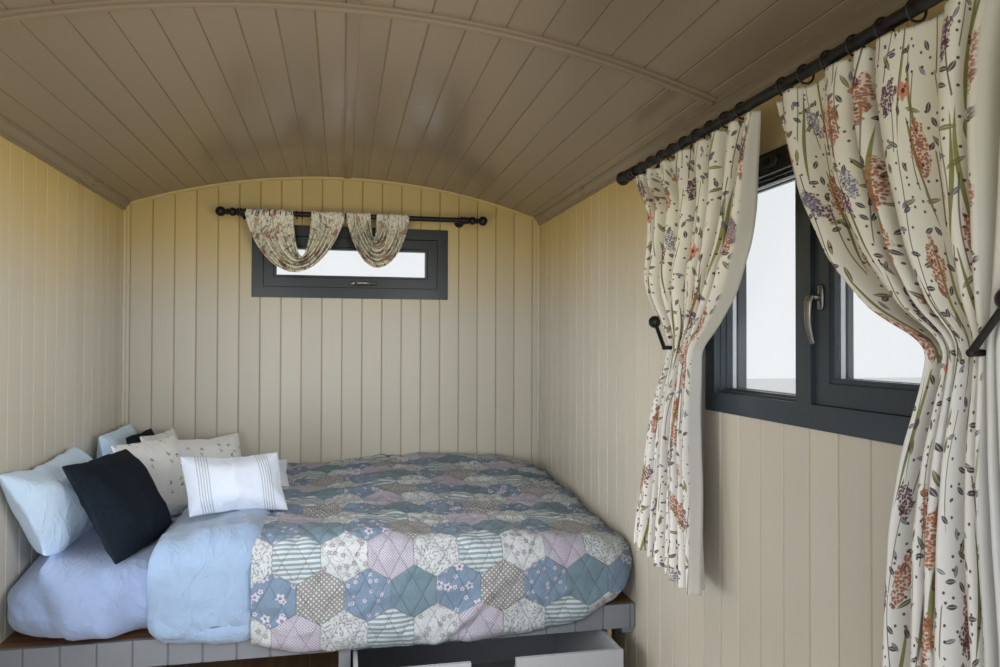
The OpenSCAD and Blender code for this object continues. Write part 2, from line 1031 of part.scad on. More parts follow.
module bed_ledgers() {
  low = bed_z - base_t - ledger_h;
  color("wheat")
    union() {
      for (side = [0, 1])
        mirror([side, 0, 0])
          block([half_w - ledger_w, y_bed, low], [half_w, y_end, bed_z - base_t]);
      block([-half_w, y_end - ledger_w, low], [half_w, y_end, bed_z - base_t]);
    }
}

module bed_rail() {
  color("wheat")
    block([-half_w, y_rail, rail_low], [half_w, y_bed, bed_z]);
}

module bed_divider() {
  color("wheat")
    union() {
      block([post_x - post_w / 2, y_bed, floor_z], [post_right, y_bed + post_w, bed_z - base_t]);
      block([divider_x, y_bed, floor_z], [divider_x + panel_t, y_end - ledger_w, bed_z - base_t]);
    }
}

// Runners carry the drawer under its sides: one on the divider, one on the support panel
module drawer_support() {
  runner_top = floor_z + drawer_low - runner_gap;
  color("burlywood") {
    block([divider_x + panel_t, y_bed + post_w, floor_z],
          [drawer_x0 + side_t, y_end - ledger_w, runner_top]);
    union() {
      block([support_x, y_bed, floor_z], [support_x + panel_t, y_end - ledger_w, bed_z - base_t]);
      block([drawer_x1 - side_t, y_bed, floor_z], [support_x, y_end - ledger_w, runner_top]);
    }
  }
}

// Drawer, standing open by drawer_out
module drawer_front() {
  color("whitesmoke")
    difference() {
      block([drawer_x0, y_front, floor_z + drawer_low - 15],
            [drawer_x1, y_front + front_t, floor_z + drawer_top]);
      translate([(drawer_x0 + drawer_x1) / 2, y_front - 1, floor_z + drawer_top])
        rotate([-90, 0, 0])
          linear_extrude(front_t + 2)
            union() {
              translate([-notch_w / 2, -1])
                square([notch_w, notch_d - 19]);
              translate([-notch_w / 2 + 20, -1])
                square([notch_w - 40, notch_d + 1]);
              for (side = [-1, 1])
                translate([side * (notch_w / 2 - 20), notch_d - 20])
                  circle(20, $fn = round_fn);
            }
    }
}

module drawer_box() {
  y0 = y_front + front_t;
  y1 = y0 + drawer_l;
  z0 = floor_z + drawer_low;
  z1 = floor_z + drawer_top - 4;
  color("whitesmoke")
    difference() {
      block([drawer_x0, y0, z0], [drawer_x1, y1, z1]);
      block([drawer_x0 + side_t, y0 - 1, z0 + bottom_t], [drawer_x1 - side_t, y1 - side_t, far]);
    }
}

// Bedding. The mattress sheet and the covers lie on each other with a small gap.
module mattress() {
  x = half_w - 12;
  color("white")
    block([-x, y_mattress, bed_z + soft_gap], [x, y_end - 6, mattress_top]);
}

// Cover over the mattress and down its front, as a section in the Y-Z plane
module cover_section(t, hang, low) {
  y0 = y_mattress - soft_gap - hang;
  z1 = mattress_top + soft_gap + t;
  round_r = hang + 25;
  difference() {
    union() {
      translate([y0 + round_r, low])
        square([y_end - corner_bead - 2 - y0 - round_r, z1 - low]);
      translate([y0, low])
        square([round_r, z1 - low - round_r]);
      translate([y0 + round_r, z1 - round_r])
        circle(round_r, $fn = round_fn);
    }
    translate([y_mattress - soft_gap, low - 1])
      square([far, mattress_top + soft_gap - low + 1]);
  }
}

module cover(x0, x1, t, hang, low) {
  translate([x0, 0, 0])
    rotate([90, 0, 90])
      linear_extrude(x1 - x0)
        cover_section(t, hang, low);
}

quilt_front = y_mattress - soft_gap - quilt_hang;

module quilt() {
  x1 = half_w - 6;
  low = floor_z + quilt_hem;
  color("lightsteelblue")
    difference() {
      cover(-quilt_left, x1, quilt_t, quilt_hang + rail_t + mattress_in, low);
      block([-far, y_rail - soft_gap, -far], [far, far, bed_z + soft_gap]);
      along_y(-far, far)
        polygon([[-quilt_left - 1, low - 1], [-quilt_left - 1, low + 80], [-quilt_left + 170, low]]);
      along_y(-far, far)
        polygon([[x1 - 560, low - 1], [x1 - 150, low + 80], [x1 - 50, low + 140], [x1 + 1, low + 220],
                 [x1 + 1, low - 1]]);
    }
}

module duvet_fold() {
  color("aliceblue")
    cover(-quilt_left - fold_w - 2 * soft_gap, -quilt_left - 2 * soft_gap, fold_t, mattress_in - soft_gap,
          bed_z + soft_gap);
}

fold_top = mattress_top + soft_gap + fold_t;

// Top of the made bed, which the pillows and cushions rest on
module bed_top() {
  block([-far, -far, -far], [far, far, mattress_top + soft_gap]);
  block([-quilt_left - fold_w - 3 * soft_gap, -far, -far], [far, far, fold_top + soft_gap]);
}

// Plump pillow standing in the Y-Z plane round the origin. skew slides its top along +Y, its foot along -Y.
module pillow(w, h, t, skew) {
  r = 14;
  hull() {
    for (y = [-1, 1], z = [-1, 1])
      translate([0, y * (w / 2 - r) + skew * z * (h / 2 - r), z * (h / 2 - r)])
        sphere(r = r, $fn = soft_fn);
    for (y = [-1, 1], z = [-1, 1])
      translate([0, y * w / 4 + skew * z * h / 4, z * h / 4])
        cube([t, 2, 2], center = true);
  }
}

// Pillow at [distance from the left wall, distance from the end wall, height over the mattress], leaning
// back by lean and turned by turn, and cut flat where it rests on the bed and against the left wall
module leaning_pillow(size, at, lean, turn, skew) {
  difference() {
    translate([at[0] - half_w, back(at[1]), mattress_top + at[2]])
      rotate([0, 0, turn])
        rotate([0, -lean, 0])
          pillow(size[0], size[1], size[2], skew);
    bed_top();
    block([-far, -far, -far], [-half_w + soft_gap, far, far]);
  }
}

// The near group stands in the front part of the bed, the far group behind it
near_row = bed_d * 0.73;
far_row = bed_d * 0.21;
// Distances of the groups from the left wall
pillow_at = 85;
charcoal_at = 298;
print_at = 315;
lumbar_at = room_w * 0.315;

module pillows() {
  color("white") {
    leaning_pillow([pillow_w, pillow_h, pillow_t], [pillow_at, near_row, pillow_h * 0.396], 14, 0, -0.5);
    leaning_pillow([pillow_w - 160, pillow_h, pillow_t - 20],
                   [pillow_at - 5, far_row - 9, pillow_h * 0.4], 8, 0, 0);
  }
}

module charcoal_cushions() {
  color("darkslategray") {
    leaning_pillow([charcoal_w + 30, charcoal_w, cushion_t + 4],
                   [charcoal_at, near_row + 98, charcoal_w * 0.394], 41, -12, 0.36);
    leaning_pillow([charcoal_w - 40, charcoal_w - 30, cushion_t - 10],
                   [charcoal_at - 86, far_row + 16, charcoal_w * 0.331], 22, -4, 0.1);
  }
}

module print_cushions() {
  color("ivory") {
    leaning_pillow([print_w - 25, print_w, cushion_t - 4],
                   [print_at, near_row - 307, print_w * 0.404], 26, -30, 0.1);
    leaning_pillow([print_w - 10, print_w, cushion_t - 10],
                   [print_at - 25, far_row + 26, print_w * 0.369], 24, -10, 0.1);
    leaning_pillow([print_w - 10, print_w - 50, cushion_t - 6],
                   [print_at + 145, far_row + 16, print_w * 0.377], 34, -50, 0.1);
  }
}

module lumbar_cushion() {
  color("ivory") {
    leaning_pillow([lumbar_w, lumbar_h, cushion_t + 4],
                   [lumbar_at, near_row + 63, fold_t + lumbar_h * 0.443], 20, -80, -0.15);
    leaning_pillow([lumbar_w, lumbar_h, cushion_t],
                   [lumbar_at - 11, near_row - 467, fold_t + lumbar_h * 0.087], 62, -75, 0.1);
  }
}

floor_bearers();
floor_joists();
floor_boards();
end_wall_lining();
end_wall_frame();
end_wall_cladding();
left_wall_lining();
left_wall_frame();
left_wall_cladding();
right_wall_lining();
right_wall_frame();
right_wall_cladding();
corner_boards();
ceiling_boards();
roof_ribs();
roof_sheet();
eaves_fascias();
verge_board();
crown_strip();
cross_bead();
eaves_cornices();
end_wall_beads();
window_casings();
end_window_frame();
end_window_sash();
end_window_glass();
end_window_handle();
side_window_frame();
side_window_sash();
side_window_glass();
side_window_handle();
trickle_vent();
end_pole();
end_pole_brackets();
end_valance();
side_pole();
side_pole_brackets();
curtain_rings();
curtain_left();
curtain_right();
tieback_hooks();
bed_platform();
bed_ledgers();
bed_rail();
bed_divider();
drawer_support();
mattress();
quilt();
duvet_fold();
pillows();
charcoal_cushions();
print_cushions();
lumbar_cushion();
drawer_front();
drawer_box();
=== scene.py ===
import math
import random

import bmesh
import bpy
import numpy as np
from mathutils import Matrix, Vector, noise


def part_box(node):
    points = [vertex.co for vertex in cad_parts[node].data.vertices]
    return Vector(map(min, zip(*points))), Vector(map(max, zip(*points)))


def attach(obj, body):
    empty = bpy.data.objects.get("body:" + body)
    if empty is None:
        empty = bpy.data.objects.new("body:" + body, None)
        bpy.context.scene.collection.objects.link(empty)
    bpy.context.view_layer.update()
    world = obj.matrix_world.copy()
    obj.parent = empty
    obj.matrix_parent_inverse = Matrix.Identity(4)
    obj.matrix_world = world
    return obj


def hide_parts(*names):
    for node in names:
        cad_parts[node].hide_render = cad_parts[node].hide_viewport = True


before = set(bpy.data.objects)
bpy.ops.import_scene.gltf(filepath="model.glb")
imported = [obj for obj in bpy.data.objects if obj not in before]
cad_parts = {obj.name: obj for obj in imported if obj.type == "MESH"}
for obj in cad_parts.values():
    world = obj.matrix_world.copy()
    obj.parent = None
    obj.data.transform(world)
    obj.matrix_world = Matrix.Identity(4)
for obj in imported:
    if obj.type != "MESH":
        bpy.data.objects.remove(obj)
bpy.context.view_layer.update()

# Planes and levels, read from the frame
LEFT_LOW, LEFT_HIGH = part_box("left_wall_lining")
HALF_W = -LEFT_HIGH.x
STUD_X = -LEFT_LOW.x
Y_CUT = LEFT_LOW.y
Y_END = LEFT_HIGH.y
Y_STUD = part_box("end_wall_lining")[1].y
FLOOR_Z = LEFT_LOW.z
EAVES_Z = LEFT_HIGH.z
CLAD_LOW, CLAD_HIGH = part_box("end_wall_cladding")
OUT_X = CLAD_HIGH.x
Y_CLAD = CLAD_LOW.y
Y_OUT = CLAD_HIGH.y
CLAD_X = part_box("right_wall_cladding")[0].x
CEILING_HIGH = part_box("ceiling_boards")[1].z

# Barrel arc of the ceiling: its radius and the height of its centre
CEILING_T = 0.010
CROWN_Z = CEILING_HIGH - CEILING_T
RISE = CROWN_Z - EAVES_Z
ARC_R = (HALF_W ** 2 + RISE ** 2) / (2 * RISE)
ARC_Z = CROWN_Z - ARC_R


def arc_z(x, r=ARC_R):
    """Height of the barrel arc of radius r over a distance x from the centre line."""
    return ARC_Z + math.sqrt(r * r - x * x)


def smooth(t):
    """0 to 1 with soft ends, for t from 0 to 1."""
    t = min(1.0, max(0.0, t))
    return t * t * (3 - 2 * t)


def mix(a, b, t):
    return a + (b - a) * t


# Shader helpers

class Num:
    """A number made by a material's nodes. Patterns are written with it as plain arithmetic."""

    def __init__(self, shade, socket):
        self.shade = shade
        self.socket = socket

    def math(self, operation, *others):
        made = self.shade.node("Math", operation=operation)
        for place, value in zip(made.inputs, (self, *others)):
            self.shade.feed(place, value)
        return Num(self.shade, made.outputs[0])

    def __add__(self, other):
        return self.math("ADD", other)

    def __sub__(self, other):
        return self.math("SUBTRACT", other)

    def __mul__(self, other):
        return self.math("MULTIPLY", other)

    def __truediv__(self, other):
        return self.math("DIVIDE", other)

    def __radd__(self, other):
        return self + other

    def __rmul__(self, other):
        return self * other

    def __rsub__(self, other):
        return self * -1 + other

    def __abs__(self):
        return self.math("ABSOLUTE")

    def floor(self):
        return self.math("FLOOR")

    def wrap(self, size):
        """The remainder after a division by size, from 0 to size."""
        return self.math("FLOORED_MODULO", size)

    def sin(self):
        return self.math("SINE")

    def low(self, other):
        return self.math("MINIMUM", other)

    def high(self, other):
        return self.math("MAXIMUM", other)

    def power(self, other):
        return self.math("POWER", other)

    def root(self):
        return self.math("SQRT")

    def angle(self, across):
        """The direction of a point whose height this is and whose width is across."""
        return self.math("ARCTAN2", across)

    def ramp(self, start, end):
        """0 at start, 1 at end, soft between them."""
        made = self.shade.node("MapRange", interpolation_type="SMOOTHSTEP")
        for place, value in zip(made.inputs, (self, start, end, 0.0, 1.0)):
            self.shade.feed(place, value)
        return Num(self.shade, made.outputs[0])

    def under(self, edge, soft):
        """1 below an edge and 0 above it, over a soft width."""
        return 1 - self.ramp(edge - soft, edge + soft)


class Shade:
    def __init__(self, name):
        self.material = bpy.data.materials.new(name)
        self.material.use_nodes = True
        self.tree = self.material.node_tree
        self.shader = self.tree.nodes["Principled BSDF"]

    def node(self, kind, inputs=None, **settings):
        made = self.tree.nodes.new("ShaderNode" + kind)
        for key, value in settings.items():
            setattr(made, key, value)
        for key, value in (inputs or {}).items():
            self.feed(made.inputs[key], value)
        return made

    def feed(self, socket, value):
        if isinstance(value, Num):
            value = value.socket
        if isinstance(value, bpy.types.NodeSocket):
            self.tree.links.new(value, socket)
        elif socket.type == "RGBA" and len(value) == 3:
            socket.default_value = (*value, 1.0)
        else:
            socket.default_value = value

    def xyz(self, vector):
        parts = self.node("SeparateXYZ", {0: vector})
        return [Num(self, out) for out in parts.outputs]

    def vector(self, x, y, z=0.0):
        return self.node("CombineXYZ", {0: x, 1: y, 2: z}).outputs[0]

    def place(self):
        """Position on the object, in metres in the row frame."""
        return self.xyz(self.node("TexCoord").outputs["Object"])

    def cloth(self, layer="cut"):
        """Position on the flat cloth, in metres."""
        return self.xyz(self.node("UVMap", uv_map=layer).outputs[0])[:2]

    def value_of(self, attribute):
        return Num(self, self.node("Attribute", attribute_name=attribute).outputs["Fac"])

    def noise(self, x, y, z, scale, detail=3.0, rough=0.5, warp=0.0):
        made = self.node("TexNoise", {"Vector": self.vector(x, y, z), "Scale": scale, "Detail": detail,
                                      "Roughness": rough, "Distortion": warp})
        return Num(self, made.outputs[0])

    def cells(self, x, y, scale, scatter=1.0, seed=0.0):
        """Scattered points on a plane: place from the nearest one, and three random numbers of it."""
        made = self.node("TexVoronoi", {"Vector": self.vector(x, y + seed), "Scale": scale,
                                        "Randomness": scatter}, voronoi_dimensions="2D")
        px, py, _ = self.xyz(made.outputs["Position"])
        parts = self.node("SeparateColor", {0: made.outputs["Color"]})
        return x - px, y + seed - py, [Num(self, out) for out in parts.outputs]

    def blend(self, amount, first, second, kind="MIX"):
        made = self.node("Mix", data_type="RGBA", blend_type=kind)
        for place, value in ((0, amount), (6, first), (7, second)):
            self.feed(made.inputs[place], value)
        return made.outputs[2]

    def finish(self, colour, rough=None, bump=None, depth=0.001, **fixed):
        """rough is a Num or a number, bump a height of up to 1 that stands for depth in metres."""
        self.feed(self.shader.inputs["Base Color"], colour)
        if rough is not None:
            self.feed(self.shader.inputs["Roughness"], rough)
        if bump is not None:
            made = self.node("Bump", {"Height": bump, "Distance": depth, "Strength": 1.0})
            self.feed(self.shader.inputs["Normal"], made.outputs[0])
        for key, value in fixed.items():
            self.feed(self.shader.inputs[key.replace("_", " ").title().replace("Ior", "IOR")], value)
        return self.material


# Finishes

def paint(name, low, high, rough=0.33, levels=(0.9, 2.3), streak="z", gloss=0.5, grain=1.0, joint_shade=0.55):
    """Brushed satin paint that warms from a low colour to a high one with height, as painted warm shade, with
    painted shade in the joints.
    """
    s = Shade(name)
    x, y, z = s.place()
    along = {"x": (0.05, 1, 1), "y": (1, 0.05, 1), "z": (1, 1, 0.05)}[streak]
    lines = s.noise(x * along[0], y * along[1], z * along[2], 160, 2) * grain
    cloud = s.noise(x, y, z, 2.2, 3)
    # painted warm shade: the colour turns from low to high over the heights in levels
    colour = s.blend((z + cloud * 0.3 - 0.15).ramp(*levels), low, high)
    tone = 0.93 + s.value_of("tone") * 0.08 + cloud * 0.05 + lines * 0.03
    colour = s.blend(1.0, colour, s.vector(tone, tone, tone), "MULTIPLY")
    # painted shade in the joints: the joint faces are darkened towards brown
    joint_shaded = s.blend(1.0, colour, (0.62, 0.48, 0.33), "MULTIPLY")
    colour = s.blend(s.value_of("joint") * joint_shade, colour, joint_shaded)
    return s.finish(colour, rough + lines * 0.10 + cloud * 0.08 - 0.08, lines + cloud * 2, 0.00035,
                    specular_ior_level=gloss)


def timber(name, dark, light, grain="z", rough=0.6):
    """Sawn or planed wood with grain along one axis."""
    s = Shade(name)
    x, y, z = s.place()
    near = {"x": (x * 0.06, y, z), "y": (x, y * 0.06, z), "z": (x, y, z * 0.06)}[grain]
    warp = s.noise(*near, 9, 2)
    rings = ((s.noise(*near, 14, 1) * 26 + warp * 5).sin() * 0.5 + 0.5).power(1.6)
    fibre = s.noise(*near, 420, 2)
    tone = 0.25 + rings * 0.4 + fibre * 0.35 + s.value_of("tone") * 0.2 - 0.1
    colour = s.blend(tone.low(1.0).high(0.0), dark, light)
    return s.finish(colour, rough + fibre * 0.15, fibre + rings * 0.5, 0.0006)


def black_finish(name, rough):
    """Black stain or lacquer, a little uneven, rubbed paler in places."""
    s = Shade(name)
    x, y, z = s.place()
    cloud = s.noise(x, y, z, 35, 3)
    rubbed = s.noise(x, y, z, 140, 2).ramp(0.62, 0.85)
    colour = s.blend(rubbed * 0.35, (0.007, 0.0065, 0.0065), (0.045, 0.038, 0.033))
    return s.finish(colour, rough + cloud * 0.18, cloud, 0.0004)


def dark_chrome(name):
    """Polished dark plating with faint handling marks."""
    s = Shade(name)
    x, y, z = s.place()
    marks = s.noise(x, y, z, 90, 3)
    colour = s.blend(marks, (0.20, 0.19, 0.175), (0.34, 0.325, 0.30))
    return s.finish(colour, 0.10 + marks * 0.14, marks, 0.0001, metallic=0.9)


def sheet_steel(name):
    """Coated steel, faintly streaked by rain down the slope, with a dusting of lichen."""
    s = Shade(name)
    x, y, z = s.place()
    rain = s.noise(x * 0.08, y, z * 0.08, 60, 3)
    cloud = s.noise(x, y, z, 3, 4)
    spots = s.noise(x, y, z, 55, 4).ramp(0.60, 0.72)
    colour = s.blend(rain * 0.6 + cloud * 0.4, (0.050, 0.063, 0.062), (0.092, 0.108, 0.104))
    colour = s.blend(spots * cloud * 0.55, colour, (0.20, 0.20, 0.15))
    return s.finish(colour, 0.38 + rain * 0.2 + spots * 0.2, rain + spots, 0.0003)


def pane(name):
    """Clear glass with a faint film of dust."""
    s = Shade(name)
    x, y, z = s.place()
    film = s.noise(x, y, z, 14, 3)
    colour = s.blend(film, (0.80, 0.86, 0.87), (0.92, 0.95, 0.95))
    s.shader.inputs["Alpha"].default_value = 0.045
    return s.finish(colour, 0.03 + film * 0.02, specular_ior_level=0.6)


def spacer_metal(name):
    s = Shade(name)
    x, y, z = s.place()
    dots = s.noise(x, y, z, 500, 1)
    return s.finish(s.blend(dots, (0.55, 0.56, 0.58), (0.68, 0.69, 0.71)), 0.35 + dots * 0.2,
                    dots, 0.0002, metallic=0.5)


def cotton(name, shade, light, weave=1.0, rough=0.85, sheen=0.25, gloss=0.5):
    """Plain washed cotton: fine weave, slubs, and small soft creases."""
    s = Shade(name)
    x, y, z = s.place()
    slub = s.noise(x * 0.25, y * 0.25, z, 260, 2)
    fine = s.noise(x, y, z, 1500 * weave, 1)
    cloud = s.noise(x, y, z, 5, 3)
    crease = s.noise(x, y, z, 26, 3, 0.55, 0.8)
    ridge = (1 - abs(s.noise(x, y, z * 0.7, 15, 2, 0.5, 0.9) * 2 - 1)).power(9)
    # colour goes towards shade with cloud and slubs, and in the low creases as painted shade
    colour = s.blend(cloud * 0.5 + slub * 0.3 + crease * 0.2, shade, light)
    height = crease * 0.55 + ridge * 0.28 + slub * 0.11 + fine * 0.06
    return s.finish(colour, rough + fine * 0.08, height, 0.0060, sheen_weight=sheen, specular_ior_level=gloss)


def turned(x, y, angle):
    c, s = angle.math("COSINE"), angle.sin()
    return x * c + y * s, y * c - x * s


def leaf(x, y, long, wide):
    """1 inside a pointed leaf along x."""
    return ((1 - (x / long) * (x / long)) * wide - abs(y)).ramp(0.0, wide * 0.25)


def kept(value, share):
    """1 for a share of the random numbers."""
    return value.under(share, 0.001)


def floral(name):
    """Linen printed with scattered leaves, blades, flower spikes and berries."""
    s = Shade(name)
    u, v = s.cloth()
    plain = s.value_of("plain")
    slub = s.noise(u * 0.2, v, 0.0, 700, 2) * 0.5 + s.noise(u, v * 0.2, 0.0, 700, 2) * 0.5
    cloud = s.noise(u, v, 0.0, 7, 2)
    x, y, z = s.place()
    # painted warm shade: the ground turns yellower towards the top
    ground = s.blend((z + cloud * 0.3).ramp(1.55, 2.25), (0.80, 0.79, 0.76), (0.82, 0.77, 0.60))
    # the plain lining is darker: a duller cloth, and painted shade
    tone = (0.86 + cloud * 0.14 + slub * 0.10) * (1 - plain * 0.22)
    colour = s.blend(1.0, ground, s.vector(tone, tone, tone), "MULTIPLY")
    show_print = 1 - plain
    wash = s.noise(u, v, 2.0, 90, 3)

    x, y, r = s.cells(u, v * 0.28, 1 / 0.060, 0.9, 3.1)
    y = y / 0.28
    bend = x + (y * 11 + r[0] * 6).sin() * 0.014
    blade = leaf(y, bend, 0.125, 0.0042) * kept(r[1], 0.62)
    olive = s.blend(r[2] * 0.6 + wash * 0.4, (0.075, 0.075, 0.022), (0.33, 0.33, 0.07))
    colour = s.blend(blade * show_print * 0.94, colour, olive)

    x, y, r = s.cells(u, v * 0.30, 1 / 0.042, 1.0, 9.4)
    y = y / 0.30
    bend = x + (y * 14 + r[1] * 6).sin() * 0.010
    stem = (0.0013 - abs(bend)).ramp(-0.0004, 0.0004) * kept(r[0], 0.75)
    tint = s.blend(r[2], (0.055, 0.040, 0.035), (0.20, 0.17, 0.04))
    colour = s.blend(stem * show_print * 0.85, colour, tint)

    for seed, pitch, share, long, wide, dark, pale in (
            (17.0, 0.036, 0.50, 0.0115, 0.0052, (0.030, 0.026, 0.032), (0.085, 0.040, 0.060)),
            (31.0, 0.052, 0.40, 0.0190, 0.0050, (0.060, 0.060, 0.025), (0.30, 0.26, 0.08)),
            (43.0, 0.055, 0.35, 0.0120, 0.0045, (0.24, 0.26, 0.32), (0.11, 0.10, 0.13))):
        x, y, r = s.cells(u, v, 1 / pitch, 1.0, seed)
        x, y = turned(x, y, r[0] * 3.1 + 0.6)
        one = leaf(x, y, long, wide) * kept(r[1], share)
        vein = 1 - (0.0006 - abs(y)).ramp(-0.0003, 0.0003) * 0.5
        tint = s.blend(r[2] * 0.6 + wash * 0.4, dark, pale)
        colour = s.blend(one * vein * show_print * 0.94, colour, tint)

    for seed, pitch, share, long, wide, dot, dark, pale in (
            (57.0, 0.150, 0.80, 0.060, 0.0190, 0.0056, (0.24, 0.060, 0.028), (0.56, 0.21, 0.085)),
            (71.0, 0.190, 0.70, 0.040, 0.0180, 0.0056, (0.045, 0.012, 0.030), (0.20, 0.055, 0.11)),
            (119.0, 0.230, 0.55, 0.040, 0.0170, 0.0052, (0.10, 0.10, 0.13), (0.30, 0.29, 0.37))):
        x, y, r = s.cells(u, v, 1 / pitch, 0.9, seed)
        x, y = turned(x, y, r[0] * 0.9 + 1.2)
        x = x + (s.noise(u, v, seed, 45, 2) - 0.5) * 0.034
        y = y + (s.noise(u, v, seed + 5, 60, 2) - 0.5) * 0.030
        head = leaf(x, y, long, wide) * kept(r[1], share)
        dx, dy, q = s.cells(u, v, 1 / dot, 0.9, seed * 2)
        petal = (dx * dx + dy * dy).root().under(dot * 0.46, dot * 0.10)
        tint = s.blend(q[1] * 0.5 + wash * 0.5, dark, pale)
        ragged = (head - wash * 0.45).ramp(0.0, 0.15)
        colour = s.blend(ragged * (petal * 0.70 + 0.24) * show_print, colour, tint)

    x, y, r = s.cells(u, v, 1 / 0.24, 1.0, 83.0)
    far = (x * x + y * y).root()
    lobes = (y.angle(x) * 5 + r[0] * 6).sin() * 0.0034 + 0.0160 + wash * 0.004
    open_flower = (lobes - far).ramp(0.0, 0.004) * kept(r[1], 0.6)
    tint = s.blend(wash, (0.45, 0.09, 0.04), (0.80, 0.32, 0.18))
    colour = s.blend(open_flower * show_print * 0.9, colour, tint)
    colour = s.blend(far.under(0.005, 0.001) * kept(r[1], 0.6) * show_print, colour, (0.10, 0.03, 0.03))

    x, y, r = s.cells(u, v, 1 / 0.019, 1.0, 97.0)
    berry = (x * x + y * y).root().under(0.0027, 0.0006) * kept(r[0], 0.34)
    tint = s.blend(r[1], (0.030, 0.016, 0.024), (0.16, 0.02, 0.05))
    colour = s.blend(berry * show_print * 0.92, colour, tint)
    return s.finish(colour, 0.88 + slub * 0.08, slub, 0.0006, sheen_weight=0.1)


# Quilt: width of a hexagon, rise of its rows, place of one centre, and the lines of stitches
PATCH = 0.1533
HEX_SLOPE = 0.8660254
PATCH_ROW = PATCH * HEX_SLOPE
PATCH_X = -0.069
PATCH_V = 0.612
STITCH_PITCH = 0.0766
STITCH_SLOPE = 1.732


def patchwork(name):
    """Cotton hexagons sewn together, each row of them with its own four common prints in turn."""
    s = Shade(name)
    u, v = s.cloth()
    wander = s.noise(u, v, 0.0, 9, 2)
    u = u + wander * 0.006 - 0.003
    v = v + s.noise(u, v, 4.0, 9, 2) * 0.006 - 0.003

    def grid(x_of, v_of):
        x, y = (u - x_of) / PATCH + 0.5, (v - v_of) / (2 * PATCH_ROW) + 0.5
        i, j = x.floor(), y.floor()
        a, b = (x - i - 0.5) * PATCH, (y - j - 0.5) * (2 * PATCH_ROW)
        return i, j, a, b, a * a + b * b

    i1, j1, a1, b1, d1 = grid(PATCH_X, PATCH_V)
    i2, j2, a2, b2, d2 = grid(PATCH_X + PATCH / 2, PATCH_V + PATCH_ROW)
    other = (d1 - d2).ramp(-0.00001, 0.00001)
    a, b = a1 + (a2 - a1) * other, b1 + (b2 - b1) * other
    pick1 = (i1 + j1 * 2).wrap(4)
    pick2 = (i2 + 1 + j2 * 2).wrap(4)
    edge = abs(a).high(abs(a) * 0.5 + abs(b) * HEX_SLOPE)
    seam = (edge - PATCH / 2).ramp(-0.0028, -0.0006)

    def chosen(pick, number):
        return abs(pick - number).under(0.5, 0.01)

    def dots(pitch, size):
        x, y = (u / pitch).wrap(1) - 0.5, (v / pitch).wrap(1) - 0.5
        x2, y2 = (u / pitch + 0.5).wrap(1) - 0.5, (v / pitch + 0.5).wrap(1) - 0.5
        near = (x * x + y * y).low(x2 * x2 + y2 * y2).root()
        return near.under(size, 0.06)

    def sprigs(pitch, seed, long, wide, share=0.8):
        x, y, r = s.cells(u, v, 1 / pitch, 0.85, seed)
        x, y = turned(x, y, r[0] * 6)
        return leaf(x, y, long, wide) * kept(r[1], share), r

    def blossom(pitch, seed, size, share):
        x, y, r = s.cells(u, v, 1 / pitch, 0.8, seed)
        far = (x * x + y * y).root()
        lobes = (y.angle(x) * 5 + r[0] * 6).sin() * size * 0.20 + size
        return (lobes - far).ramp(0.0, size * 0.25) * kept(r[1], share), far.under(size * 0.35, size * 0.1)

    cream = (0.70, 0.70, 0.64)
    blue = (0.185, 0.265, 0.345)
    twig, r = sprigs(0.026, 5.0, 0.013, 0.0011, 0.9)
    flower, heart = blossom(0.032, 12.0, 0.0092, 0.85)
    tiny, tiny_heart = blossom(0.034, 15.0, 0.0068, 0.92)
    leaves, q = sprigs(0.0135, 25.0, 0.0078, 0.0023, 0.9)
    leaves2, q2 = sprigs(0.0150, 28.0, 0.0070, 0.0020, 0.8)
    bunch, bunch_heart = blossom(0.056, 33.0, 0.0150, 0.70)
    spray, spray_heart = blossom(0.040, 38.0, 0.0085, 0.55)

    stripe = ((v / 0.0160) * math.tau).sin().ramp(-0.25, 0.25)
    fine_stripe = ((v / 0.0032) * math.tau).sin().ramp(-0.5, 0.5)
    striped = s.blend(stripe * 0.90, cream, (0.18, 0.265, 0.275))
    striped = s.blend(stripe * fine_stripe * 0.15, striped, (0.32, 0.40, 0.41))
    bloom = s.blend(leaves2 * 0.45, cream, (0.25, 0.22, 0.20))
    bloom = s.blend(twig * 0.6, bloom, (0.22, 0.18, 0.15))
    bloom = s.blend(flower * 0.80, bloom, (0.30, 0.22, 0.22))
    bloom = s.blend(flower * heart, bloom, (0.55, 0.46, 0.44))
    check = dots(0.0090, 0.215)
    ging = s.blend(check * 0.9, (0.66, 0.59, 0.62), (0.26, 0.17, 0.22))
    sprig = s.blend(leaves * 0.85, cream, s.blend(q[2], (0.19, 0.18, 0.17), (0.40, 0.38, 0.35)))
    sprig = s.blend(leaves2 * 0.7, sprig, s.blend(q2[2], (0.16, 0.15, 0.15), (0.33, 0.30, 0.28)))
    colour_b = striped
    for number, tint in ((1, bloom), (2, ging), (3, sprig)):
        colour_b = s.blend(chosen(pick2, number), colour_b, tint)

    polka = s.blend(dots(0.0165, 0.165), (0.295, 0.265, 0.225), (0.82, 0.79, 0.70))
    small = s.blend(twig * 0.5, blue, (0.16, 0.12, 0.14))
    small = s.blend(tiny, small, (0.74, 0.62, 0.66))
    small = s.blend(tiny * tiny_heart, small, (0.28, 0.13, 0.19))
    teal = s.blend(dots(0.0072, 0.17), (0.100, 0.185, 0.215), (0.42, 0.52, 0.54))
    large = s.blend(twig * 0.45, blue, (0.15, 0.12, 0.13))
    for shape, middle in ((spray, spray_heart), (bunch, bunch_heart)):
        large = s.blend(shape, large, (0.74, 0.66, 0.70))
        large = s.blend(shape * middle, large, (0.30, 0.16, 0.22))
    colour_a = polka
    for number, tint in ((1, small), (2, teal), (3, large)):
        colour_a = s.blend(chosen(pick1, number), colour_a, tint)

